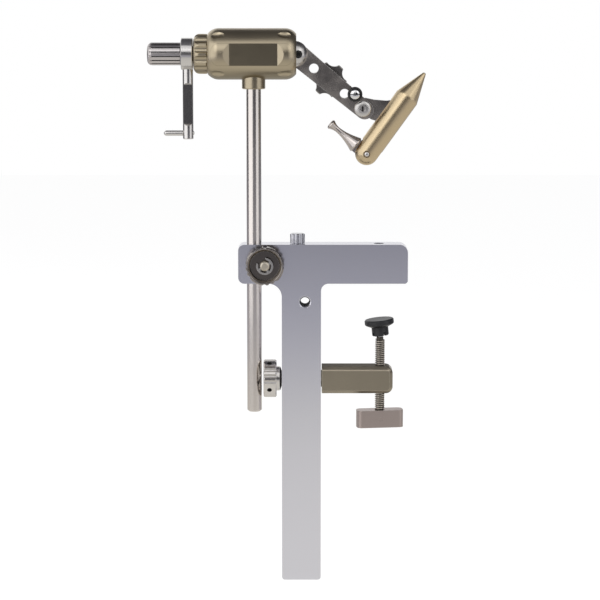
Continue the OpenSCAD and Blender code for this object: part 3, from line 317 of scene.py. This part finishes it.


# Its edge colour lightens the chamfers: wear and a painted highlight.
clear_anodised = metal_finish("clear_anodised", FRAME_COLOUR, scale=9000, roughness=0.2,
                              contrast=0.05, spread=0.1, smudge=0.03, depth=0.000003,
                              edge=(0.95, 0.95, 0.97), edge_width=0.0006, edge_amount=0.7)
# Painted shade: the bore of the cross hole is darkened and roughened.
toned_area(clear_anodised, near_line(CROSS_HOLE, Y_AXIS, CROSS_HOLE_R), factor=0.15, roughen=0.7)
dress("clamp_frame", clear_anodised, FRAME_EDGE)

# Thumb screw in the beam
# Small fluted screw of bright turned steel that stands in the top of the beam.
THUMB_COLOUR = (0.6, 0.6, 0.63)
STEEL_COLOUR = (0.72, 0.7, 0.69)
thumb_steel = metal_finish("thumb_steel", THUMB_COLOUR, scale=4000, roughness=0.13,
                           contrast=0.1, spread=0.06, smudge=0.05, depth=0.000002,
                           edge=(0.95, 0.95, 0.97), edge_width=0.0002)
bright_steel = metal_finish("bright_steel", STEEL_COLOUR, scale=4000, roughness=0.24,
                            contrast=0.1, spread=0.08, smudge=0.05, depth=0.000002,
                            edge=(0.95, 0.94, 0.93), edge_width=0.0002)
dress("thumb_screw", thumb_steel, width=0.0002)

# Stem
# Stainless bar, centreless ground: fine rings round it, chamfered at its foot.
STEM_COLOUR = (0.76, 0.71, 0.67)
ground_stem = metal_finish("ground_stem", STEM_COLOUR, scale=(900, 900, 14000), roughness=0.2,
                           contrast=0.1, spread=0.08, smudge=0.05)
dress("stem", ground_stem, width=0)

# Stem clamp
# Turned knob on a stud that ends in an E-clip. It draws a bronze cotter against the stem.
# The knob is polished steel, coloured dark as a painted dark reflection, with a deep dished face.
KNOB_PAINTED_DARK_COLOUR = (0.34, 0.305, 0.28)
KNOB_DISH_Y = -0.015088
FLAT_SLACK = 0.00004
COTTER_COLOUR = (0.72, 0.66, 0.55)
WASHER_COLOUR = (0.12, 0.115, 0.11)
CLIP_COLOUR = (0.6, 0.58, 0.56)


def strip_at(direction, middle, half):
    """The area that lies within half a width of a middle, measured along a direction."""
    def area(tree, coordinates):
        along = vector_math(tree, "DOT_PRODUCT", coordinates["Object"], direction)
        return arithmetic(tree, "COMPARE", along, middle, half)
    return area


knob_steel = metal_finish("knob_steel", KNOB_PAINTED_DARK_COLOUR, scale=(3000, 9000, 3000), roughness=0.22,
                          spread=0.1, depth=0.000003, edge=(0.95, 0.93, 0.9), edge_width=0.0006,
                          edge_amount=1.2)
# Painted dark reflection: the bottom of the dish is darkened further.
toned_area(knob_steel, strip_at(Y_AXIS, KNOB_DISH_Y, FLAT_SLACK), factor=0.5)
dress("stem_clamp_knob", knob_steel, width=0.0003, segments=3)
cotter_bronze = metal_finish("cotter_bronze", COTTER_COLOUR, scale=4000, roughness=0.35,
                             contrast=0.2, edge=(0.9, 0.86, 0.78))
dress("stem_clamp_cotter", cotter_bronze, width=0.00012)
black_washer = metal_finish("black_washer", WASHER_COLOUR, scale=3000, roughness=0.4,
                            contrast=0.2, edge=(0.4, 0.39, 0.38))
dress("stem_clamp_washer", black_washer, width=0.0002)
spring_clip = metal_finish("spring_clip", CLIP_COLOUR, scale=2500, roughness=0.25,
                           edge=(0.9, 0.9, 0.9), edge_width=0.00015)
dress("retaining_clip", spring_clip, width=0.0001)

# Clamp arm
# Milled bar with broad chamfers, bronze anodised. It slides in the upright and carries the screw.
# A knob like the first one, in silver, locks it from the left over a domed washer.
ARM_COLOUR = (0.38, 0.335, 0.26)
ARM_TOP_SHADE_NORMAL = (0.84, 0.86)
ARM_CHAMFER_HIGHLIGHT_Z = -0.0568
ARM_CHAMFER_HIGHLIGHT_HALF = 0.0004
SILVER_COLOUR = (0.74, 0.71, 0.68)
TOMMY_CENTRE = (-0.0719, 0, -0.0634)
TOMMY_WAYS = ((0, -0.469, 0.883), (0, -0.883, -0.469))
TOMMY_SHADE_R = 0.00156


def facing(start, full):
    """The area whose normal's upward part runs from a start to a full value."""
    def area(tree, coordinates):
        parts = tree.nodes.new("ShaderNodeSeparateXYZ")
        tree.links.new(coordinates["Normal"], parts.inputs[0])
        return mapped(tree, parts.outputs["Z"], start, full)
    return area


# Its strong edge colour lightens the edges: wear and a painted highlight.
arm_bronze = metal_finish("arm_bronze", ARM_COLOUR, scale=(700, 6000, 9000), roughness=0.36,
                          contrast=0.22, spread=0.14, smudge=0.1, depth=0.000005,
                          edge=(0.75, 0.7, 0.58), edge_width=0.0009, edge_amount=1.6)
# Painted shade: faces that look upward, the top and its chamfers, are darkened and roughened.
toned_area(arm_bronze, facing(*ARM_TOP_SHADE_NORMAL), factor=0.5, roughen=0.3)
# Painted highlight: a thin lighter line along a chamfer's border with the front face.
toned_area(arm_bronze, strip_at(Z_AXIS, ARM_CHAMFER_HIGHLIGHT_Z, ARM_CHAMFER_HIGHLIGHT_HALF), factor=1.7)
dress("clamp_arm", arm_bronze, width=0.0003)
dress("arm_stud", bright_steel, width=0.0001)
dress("arm_knob_washer", black_washer, width=0.0002)
silver_knob = metal_finish("silver_knob", SILVER_COLOUR, scale=(9000, 3000, 3000), roughness=0.22,
                           contrast=0.08, spread=0.08, smudge=0.05, depth=0.000003,
                           edge=(0.97, 0.97, 0.97), edge_width=0.0004)
# Painted shade: dark spots stand in for the two tommy holes, which the mesh does not have.
for way in TOMMY_WAYS:
    toned_area(silver_knob, near_line(TOMMY_CENTRE, way, TOMMY_SHADE_R), factor=0.12, roughen=0.5)
dress("clamp_arm_knob", silver_knob, width=0.00025)

# Clamp screw
# A quarter-inch screw with twenty threads to the inch, cut on a lathe, its crests slightly worn.
# The thread is one helical ridge on a core; a steel T bar is pinned across its foot.
SCREW_COLOUR = (0.56, 0.5, 0.42)
BAR_COLOUR = (0.5, 0.425, 0.4)
SCREW_R = 0.003175
SCREW_PITCH = 0.00127
SCREW_TOP = -0.0358
SCREW_FOOT = -0.09255
SCREW_CHAMFER = 0.0003
THREAD_TOP = -0.0369
THREAD_FOOT = -0.0839
THREAD_DEPTH = 0.00095
THREAD_SUNK = 0.0001
THREAD_ROOT_HALF = 0.42
THREAD_CREST_HALF = 0.2
THREAD_RUN_IN = 0.6
THREAD_THINNEST = 0.05
THREAD_SHADE_R = 0.00292


def skin_rows(mesh, rows):
    """Joins each row of corners to the next one by four-sided faces all the way round."""
    for first, second in zip(rows, rows[1:]):
        for i in range(len(first)):
            k = (i + 1) % len(first)
            mesh.faces.new((first[i], second[i], second[k], first[k]))
    mesh.faces.new(rows[0])
    mesh.faces.new(list(reversed(rows[-1])))


def clamp_screw_mesh(steps=48):
    """The core of the clamp screw and one ridge that climbs round it and fades at both ends."""
    core_r = SCREW_R - THREAD_DEPTH
    sunk = core_r - THREAD_SUNK
    angles = [2 * math.pi * i / steps for i in range(steps)]
    mesh = bmesh.new()
    levels = ((SCREW_TOP, core_r - SCREW_CHAMFER), (SCREW_TOP - SCREW_CHAMFER, core_r),
              (SCREW_FOOT, core_r))
    skin_rows(mesh, [[mesh.verts.new((r * math.cos(angle), r * math.sin(angle), z))
                      for angle in angles] for z, r in levels])
    count = int((THREAD_TOP - THREAD_FOOT) / SCREW_PITCH * steps)
    run_in = steps * THREAD_RUN_IN
    ridge = []
    for i in range(count + 1):
        angle = 2 * math.pi * i / steps
        z = THREAD_FOOT + SCREW_PITCH * i / steps
        fade = min(1.0, i / run_in, (count - i) / run_in)
        crest = sunk + (SCREW_R - sunk) * fade
        section = ((sunk, -THREAD_ROOT_HALF), (crest, -THREAD_CREST_HALF),
                   (crest, THREAD_CREST_HALF), (sunk, THREAD_ROOT_HALF))
        rise = SCREW_PITCH * max(fade, THREAD_THINNEST)
        ridge.append([mesh.verts.new((r * math.cos(angle), r * math.sin(angle), z + rise * part))
                      for r, part in section])
    skin_rows(mesh, ridge)
    bmesh.ops.recalc_face_normals(mesh, faces=mesh.faces)
    data = bpy.data.meshes.new("clamp_screw_thread")
    mesh.to_mesh(data)
    mesh.free()
    return data


def add_piece(name, data, material, body, *replaced):
    """A new piece of the vise that rides on a body and stands for CAD nodes."""
    piece = bpy.data.objects.new(name, data)
    bpy.context.scene.collection.objects.link(piece)
    piece.data.materials.append(material)
    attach(piece, body)
    if replaced:
        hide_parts(*replaced)
    return piece


screw_bronze = metal_finish("screw_bronze", SCREW_COLOUR, scale=(5000, 5000, 12000),
                            roughness=0.33, contrast=0.2, smudge=0.12, depth=0.000003,
                            edge=(0.9, 0.85, 0.78), edge_amount=1.5)
# Painted shade: the thread's flanks and roots, nearer the axis than the crests, are darkened.
toned_area(screw_bronze, near_line((0, 0, 0), Z_AXIS, THREAD_SHADE_R), factor=0.22, roughen=0.2)
thread = add_piece("clamp_screw_thread", clamp_screw_mesh(), screw_bronze,
                   "clamp_screw", "clamp_screw")
shade_thread = thread.modifiers.new("shading", "NODES")
shade_thread.node_group = smooth_below(SHARP_DEG)
bar_steel = metal_finish("bar_steel", BAR_COLOUR, scale=(4000, 4000, 9000), roughness=0.36,
                         contrast=0.14, spread=0.1, smudge=0.08, depth=0.000005,
                         edge=(0.85, 0.82, 0.77), edge_width=0.0004)
dress("clamp_bar", bar_steel, width=0.0006, segments=3)
dress("clamp_bar_pin", bar_steel, width=0.0001)

# Swivel pad
# Moulded black plastic disc that snaps over a ball; its hub is slotted so that it can spread.
PAD_COLOUR = (0.022, 0.023, 0.026)
PLASTIC_IOR = 1.48


def moulded_plastic(name, colour, scale, roughness):
    """A moulded plastic or rubber surface with the fine orange peel of its mould."""
    material = grained(name, colour, scale, roughness, contrast=0.4, spread=0.15, smudge=0.08,
                       depth=0.00003)
    skin_of(material).inputs["IOR"].default_value = PLASTIC_IOR
    return material


pad_plastic = moulded_plastic("pad_plastic", PAD_COLOUR, scale=3500, roughness=0.38)
dress("swivel_pad", pad_plastic, width=0.0002)
dress("ball_stud", bright_steel, width=0)

# Head
# Turned aluminium barrel, bronze anodised, with a milled flat and scallops round each end.
# A collar of the same finish carries it on the stem; a set screw holds the two together.
HEAD_COLOUR = (0.49, 0.42, 0.3)
HEAD_EDGE = (0.82, 0.79, 0.68)
HEAD_FLAT_Y = -0.014775
HEAD_UNDERSIDE_SHADE_NORMAL = (-0.5, -0.85)
OXIDE_COLOUR = (0.08, 0.078, 0.075)
BUSH_COLOUR = (0.55, 0.4, 0.22)
RING_COLOUR = (0.03, 0.03, 0.03)
head_bronze = metal_finish("head_bronze", HEAD_COLOUR, scale=(9000, 350, 350), roughness=0.31,
                           contrast=0.07, spread=0.08, edge=HEAD_EDGE, edge_width=0.0005,
                           edge_amount=0.55)
# Painted dark reflection: the milled flat is darkened.
toned_area(head_bronze, strip_at(Y_AXIS, HEAD_FLAT_Y, FLAT_SLACK), factor=0.6)
# Painted shade: faces that look downward are darkened.
toned_area(head_bronze, facing(*HEAD_UNDERSIDE_SHADE_NORMAL), factor=0.52)
dress("housing", head_bronze, width=0.0003, sharp=20)
collar_bronze = metal_finish("collar_bronze", HEAD_COLOUR, scale=(350, 350, 9000), roughness=0.3,
                             contrast=0.1, spread=0.14, edge=HEAD_EDGE, edge_width=0.0004)
dress("stem_collar", collar_bronze, width=0.0002)
black_oxide = metal_finish("black_oxide", OXIDE_COLOUR, scale=3000, roughness=0.35, contrast=0.25,
                           edge=(0.4, 0.39, 0.37), edge_width=0.0002)
dress("collar_set_screw", black_oxide, width=0)
bush_bronze = metal_finish("bush_bronze", BUSH_COLOUR, scale=5000, roughness=0.4, contrast=0.3)
dress("front_bush", bush_bronze, width=0)
dress("rear_bush", bush_bronze, width=0)
drag_plastic = moulded_plastic("drag_plastic", RING_COLOUR, scale=3000, roughness=0.5)
dress("drag_ring", drag_plastic, width=0)

# Drag knob
# Round knob with twelve scooped flutes and a rounded outer edge, anodised with the barrel.
# A black plastic washer keeps it off the crank.
THRUST_COLOUR = (0.02, 0.02, 0.02)
dress("drag_knob", head_bronze, width=0.0003)
washer_plastic = moulded_plastic("washer_plastic", THRUST_COLOUR, scale=3000, roughness=0.4)
dress("thrust_washer", washer_plastic, width=0.0001)

# Spindle
# Ground steel shaft whose front end is a domed fork for the offset arm, with its pivot screw.
SPINDLE_COLOUR = (0.62, 0.6, 0.58)
spindle_steel = metal_finish("spindle_steel", SPINDLE_COLOUR, scale=(9000, 500, 500),
                             roughness=0.24, contrast=0.1, spread=0.1, depth=0.000003,
                             edge=(0.92, 0.91, 0.9))
dress("spindle", spindle_steel, width=0.00015)
dress("arm_pivot_screw", black_oxide, width=0.00015)

# Crank
# Disc hub and round rod, turned and polished, with a flat milled for the finger and a riveted pin.
CRANK_COLOUR = (0.7, 0.68, 0.66)
CRANK_FLAT_Y = -0.00215
CRANK_FLAT_TOP = 0.135


def both(first, second):
    """The area that two areas share."""
    def area(tree, coordinates):
        return arithmetic(tree, "MULTIPLY", first(tree, coordinates), second(tree, coordinates))
    return area


crank_steel = metal_finish("crank_steel", CRANK_COLOUR, scale=(2500, 2500, 9000), roughness=0.2,
                           contrast=0.1, spread=0.1, depth=0.000003, edge=(0.96, 0.95, 0.93),
                           edge_width=0.0004)
# Painted dark reflection: the milled flat on the rod is darkened.
toned_area(crank_steel, both(strip_at(Y_AXIS, CRANK_FLAT_Y, FLAT_SLACK),
                             strip_at(Z_AXIS, 0, CRANK_FLAT_TOP)), factor=0.45)
dress("crank", crank_steel, width=0.00025)
dress("crank_pin", crank_steel, width=0.0001)
dress("crank_set_screw", black_oxide, width=0)

# Finger knob
# Aluminium knob with straight grooves and a rounded end, silver anodised, on the spindle's tail.
FINGER_COLOUR = (0.62, 0.585, 0.575)
SPINDLE_AXIS_POINT = (0, 0, 0.1473)
GROOVE_SHADE_R = 0.00695
GROOVE_MIDDLE_X = -0.1363
GROOVE_HALF = 0.0103
finger_aluminium = metal_finish("finger_aluminium", FINGER_COLOUR, scale=(9000, 2500, 2500),
                                roughness=0.3, depth=0.000003, edge=(0.88, 0.88, 0.9),
                                edge_width=0.0002, edge_amount=0.9)
# Painted shade: the bottoms of the grooves are darkened.
toned_area(finger_aluminium, both(near_line(SPINDLE_AXIS_POINT, X_AXIS, GROOVE_SHADE_R),
                                  strip_at(X_AXIS, GROOVE_MIDDLE_X, GROOVE_HALF)), factor=0.25)
dress("finger_knob", finger_aluminium, width=0.00015)

# Offset arm
# Steel bar, blackened and polished, with a round head and a slit that grips the jaws' tang.
# The lower pivot screw is satin steel; a dark slot of painted shade marks the recess in its head.
DARK_STEEL_COLOUR = (0.5, 0.46, 0.42)
SATIN_COLOUR = (0.66, 0.64, 0.62)
RECESS_SHADE_HALF = 0.0005
RECESS_SHADE_R = 0.0018
# Its strong edge colour paints light lines along the edges: wear and a painted highlight.
dark_arm = metal_finish("dark_arm", DARK_STEEL_COLOUR, scale=1800, roughness=0.26, contrast=0.3,
                        smudge=0.35, depth=0.000003, edge=(0.85, 0.84, 0.82),
                        edge_width=0.0006, edge_amount=2.0)
dress("offset_arm", dark_arm, width=0.0005, segments=3)
satin_screw = metal_finish("satin_screw", SATIN_COLOUR, scale=3000, roughness=0.33, contrast=0.14,
                           spread=0.1, smudge=0.1, depth=0.000002, edge=(0.9, 0.89, 0.88))
screw_low, screw_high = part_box("jaw_pivot_screw")
screw_middle = (screw_low + screw_high) / 2
# Painted shade: a dark slot across the middle of the head.
toned_area(satin_screw, both(strip_at(X_AXIS, screw_middle.x, RECESS_SHADE_HALF),
                             near_line(screw_middle, Y_AXIS, RECESS_SHADE_R)), factor=0.12, roughen=0.3)
dress("jaw_pivot_screw", satin_screw, width=0.0002)

# Star knob
# Six-lobed knob of darkened steel behind the arm, on the screw that squeezes the slit.
STAR_COLOUR = (0.34, 0.32, 0.3)
dark_star = metal_finish("dark_star", STAR_COLOUR, scale=3000, roughness=0.26, contrast=0.2,
                         smudge=0.1, depth=0.000003, edge=(0.8, 0.79, 0.77), edge_width=0.0004,
                         edge_amount=0.8)
dress("star_knob", dark_star, width=0.0003)
dress("pinch_screw", bright_steel, width=0)

# Material keeper
# Polished button with a groove that holds a black rubber ring.
CHROME_COLOUR = (0.85, 0.85, 0.85)
RUBBER_COLOUR = (0.012, 0.012, 0.012)
KEEPER_HORIZON_HALF = 0.00035
keeper_chrome = metal_finish("keeper_chrome", CHROME_COLOUR, scale=2000, roughness=0.07,
                             contrast=0.03, spread=0.04, smudge=0.03, depth=0.000001)
keeper_low, keeper_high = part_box("keeper_button")
# Painted reflection: a dark horizontal line across the button's middle stands for the horizon
# reflected in it.
toned_area(keeper_chrome, strip_at(Z_AXIS, (keeper_low.z + keeper_high.z) / 2, KEEPER_HORIZON_HALF),
           factor=0.12, roughen=0.2)
dress("keeper_button", keeper_chrome, width=0)
keeper_rubber = moulded_plastic("keeper_rubber", RUBBER_COLOUR, scale=2500, roughness=0.24)
dress("keeper_ring", keeper_rubber, width=0)

# Jaws
# Two halves of one turned steel rod with a long cone, coated a satin gold and slit down the middle.
# The front half is dowelled to the tang; the rear half rocks on the adjusting screw.
JAW_COLOUR = (0.66, 0.53, 0.34)
jaw_gold = metal_finish("jaw_gold", JAW_COLOUR, scale=6000, roughness=0.31, contrast=0.04,
                        spread=0.05, smudge=0.04, depth=0.000001, edge=(0.9, 0.78, 0.56),
                        edge_amount=0.5)
dress("jaw_front", jaw_gold, width=0.00008, sharp=40)
dress("jaw_back", jaw_gold, width=0.00008, sharp=40)
dress("jaw_dowels", bright_steel, width=0)
dress("jaw_adjusting_screw", bright_steel, width=0.00015)
dress("jaw_spring", spring_clip, width=0)
dress("jaw_tang", dark_arm, width=0.0002)

# Cam lever
# Turned steel handle with a waisted neck and a button end; its cam turns on a pin in the jaws.
LEVER_COLOUR = (0.6, 0.55, 0.52)
lever_steel = metal_finish("lever_steel", LEVER_COLOUR, scale=2500, roughness=0.24, contrast=0.1,
                           spread=0.1, depth=0.000003, edge=(0.9, 0.87, 0.84), edge_width=0.0002)
dress("cam_lever", lever_steel, width=0.00015)
dress("lever_pin", bright_steel, width=0)

# Floor
# Plain pale floor under the foot of the frame, which keeps a faint shadow of the vise.
# It is white to the camera; in reflections it is a white table that darkens away from the vise.
FLOOR_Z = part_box("clamp_frame")[0].z
FLOOR_REACH = 3.0
FLOOR_WHITE = (0.86, 0.86, 0.86, 1)
FLOOR_ROUGHNESS = 0.9
FLOOR_GLOW = 1.26
FLOOR_GLOW_SHARE = 0.75
VISE_MIDDLE = Vector((-0.05, 0, 0.02))
TABLE_TINT = (1.0, 0.98, 0.935)
ROOM_TINT = (0.97, 0.97, 1.07)
TABLE_EDGE = 0.8
TABLE_LEVELS = ((0.0, 0.74), (0.1, 0.74), (0.3, 0.72), (0.55, 0.68), (0.75, 0.59), (0.95, 0.48),
                (1.25, 0.42), (1.75, 0.36), (3.0, 0.24))


def tinted(level, tint):
    """A colour of one brightness level and tint."""
    return (*(level * part for part in tint), 1)


def colour_ramp(tree, value, stops):
    """The colour at a value on a ramp of stops, each of a place from 0 to 1 and a colour."""
    node = tree.nodes.new("ShaderNodeValToRGB")
    elements = node.color_ramp.elements
    for number, (place, colour) in enumerate(stops):
        stop = elements[number] if number < 2 else elements.new(place)
        stop.position = place
        stop.color = colour
    tree.links.new(value, node.inputs[0])
    return node.outputs[0]


def mixed(tree, share, first, second):
    """A mix of two shaders by the share of the second."""
    node = tree.nodes.new("ShaderNodeMixShader")
    for socket, value in zip(node.inputs, (share, first, second)):
        tree.links.new(value, socket)
    return node.outputs[0]


def seen_directly(tree, path):
    """One where the camera looks straight or through glass at something."""
    return arithmetic(tree, "MAXIMUM", path["Is Camera Ray"], path["Is Transmission Ray"])


def floor_finish():
    """White paint with a glow that only the camera sees, and the table's levels in reflections."""
    material = bpy.data.materials.new("floor_paint")
    material.use_nodes = True
    tree = material.node_tree
    paint = skin_of(material)
    paint.inputs["Base Color"].default_value = FLOOR_WHITE
    paint.inputs["Roughness"].default_value = FLOOR_ROUGHNESS
    glow = tree.nodes.new("ShaderNodeEmission")
    glow.inputs["Strength"].default_value = FLOOR_GLOW
    path = tree.nodes.new("ShaderNodeLightPath").outputs
    share = arithmetic(tree, "MULTIPLY", seen_directly(tree, path), FLOOR_GLOW_SHARE)
    shown = mixed(tree, share, paint.outputs[0], glow.outputs[0])
    place = tree.nodes.new("ShaderNodeTexCoord").outputs["Object"]
    off = vector_math(tree, "SUBTRACT", place, (VISE_MIDDLE.x, VISE_MIDDLE.y, 0))
    away = vector_math(tree, "LENGTH", vector_math(tree, "MULTIPLY", off, (1, 1, 0)))
    table = colour_ramp(tree, arithmetic(tree, "DIVIDE", away, FLOOR_REACH),
                        [(distance / FLOOR_REACH,
                          tinted(level, TABLE_TINT if distance < TABLE_EDGE else ROOM_TINT))
                         for distance, level in TABLE_LEVELS])
    mirrored = tree.nodes.new("ShaderNodeEmission")
    tree.links.new(table, mirrored.inputs["Color"])
    tree.links.new(mixed(tree, path["Is Glossy Ray"], shown, mirrored.outputs[0]),
                   tree.nodes["Material Output"].inputs["Surface"])
    return material


floor_data = bpy.data.meshes.new("floor")
floor_data.from_pydata([(x * FLOOR_REACH, y * FLOOR_REACH, FLOOR_Z)
                        for x, y in ((-1, -1), (1, -1), (1, 1), (-1, 1))], [], [(0, 1, 2, 3)])
floor_data.materials.append(floor_finish())
floor = bpy.data.objects.new("floor", floor_data)
bpy.context.scene.collection.objects.link(floor)

# Light
# A dim studio with a white sweep behind the vise and a white table that spreads out before it.
# Four soft boxes, left, behind, right and above the front, give the steel its bright bands.
ROOM_LEVELS = ((-1.0, 0.46), (-0.86, 0.58), (-0.5, 0.66), (-0.28, 0.95), (-0.19, 0.58),
               (-0.12, 0.33), (-0.05, 0.07), (0.02, 0.04), (0.15, 0.06), (0.5, 0.13))
ROOM_TABLE_TOP = -0.15
BEHIND_DIMMED = (-0.1, 0.35, 1.0, 0.68)
CARD_LEFT = (0.08, 0.22, 1.0, 0.45)
CARD_RIGHT = (0.42, 0.66, 0.0, 0.55)
SWEEP = (0.74, 0.88, 0.0, 0.86)
SOFT_BOXES = {
    "left_box": {"place": (-0.93, -0.66, 0.42), "width": 1.8, "height": 1.35, "radiance": 1.1},
    "back_box": {"place": (-0.95, 0.75, 0.7), "width": 1.5, "height": 0.9, "radiance": 0.55},
    "right_box": {"place": (1.0, -0.7, 0.4), "width": 1.1, "height": 1.3, "radiance": 0.8},
    "top_box": {"place": (0.1, -0.87, 0.9), "width": 2.0, "height": 1.0, "radiance": 0.75},
}


def light_room(tree):
    """Brightness by direction: levels by height, dark cards by X, and a sweep behind the vise."""
    way = tree.nodes.new("ShaderNodeTexCoord").outputs["Generated"]
    parts = tree.nodes.new("ShaderNodeSeparateXYZ")
    tree.links.new(way, parts.inputs[0])
    x, y, z = parts.outputs
    height = arithmetic(tree, "MULTIPLY", arithmetic(tree, "ADD", z, 1.0), 0.5)
    room = colour_ramp(tree, height,
                       [((rise + 1) / 2,
                         tinted(level, TABLE_TINT if rise < ROOM_TABLE_TOP else ROOM_TINT))
                        for rise, level in ROOM_LEVELS])
    behind = mapped(tree, y, *BEHIND_DIMMED, shape="SMOOTHSTEP")
    card = arithmetic(tree, "ADD", mapped(tree, x, *CARD_LEFT, shape="SMOOTHSTEP"),
                      mapped(tree, x, *CARD_RIGHT, shape="SMOOTHSTEP"))
    dimmed = vector_math(tree, "SCALE", room, arithmetic(tree, "MULTIPLY", behind, card))
    sweep = mapped(tree, y, *SWEEP, shape="SMOOTHSTEP")
    path = tree.nodes.new("ShaderNodeLightPath").outputs
    white = tree.nodes.new("ShaderNodeMix")
    white.data_type = "RGBA"
    white.inputs["B"].default_value = (1, 1, 1, 1)
    tree.links.new(arithmetic(tree, "MAXIMUM", sweep, seen_directly(tree, path)),
                   white.inputs["Factor"])
    tree.links.new(dimmed, white.inputs["A"])
    tree.links.new(white.outputs["Result"], tree.nodes["Background"].inputs["Color"])


def soft_box(name, place, width, height, radiance):
    """A flat white lamp of one even brightness that faces the middle of the vise."""
    lamp = bpy.data.lights.new(name, "AREA")
    lamp.shape = "RECTANGLE"
    lamp.size = width
    lamp.size_y = height
    lamp.energy = radiance * math.pi * width * height
    holder = bpy.data.objects.new(name, lamp)
    bpy.context.scene.collection.objects.link(holder)
    holder.location = place
    holder.rotation_euler = (VISE_MIDDLE - Vector(place)).to_track_quat("-Z", "Y").to_euler()


world = bpy.data.worlds.new("room")
bpy.context.scene.world = world
world.use_nodes = True
light_room(world.node_tree)
for name, settings in SOFT_BOXES.items():
    soft_box(name, **settings)

# Camera
# In front of the vise, a little above its head, looking slightly down.
CAMERA_PLACE = (-0.0521, -1.385, 0.1928)
CAMERA_PITCH = 8.4
FOCAL_PIXELS = 2154
PICTURE_PIXELS = 600
SENSOR_MM = 36
camera_data = bpy.data.cameras.new("camera")
camera_data.sensor_width = SENSOR_MM
camera_data.lens = SENSOR_MM * FOCAL_PIXELS / PICTURE_PIXELS
camera_data.clip_start = 0.05
camera_data.clip_end = 20
camera = bpy.data.objects.new("camera", camera_data)
bpy.context.scene.collection.objects.link(camera)
camera.location = CAMERA_PLACE
camera.rotation_euler = (math.radians(90 - CAMERA_PITCH), 0, 0)
bpy.context.scene.camera = camera
bpy.context.scene.view_settings.view_transform = "Standard"
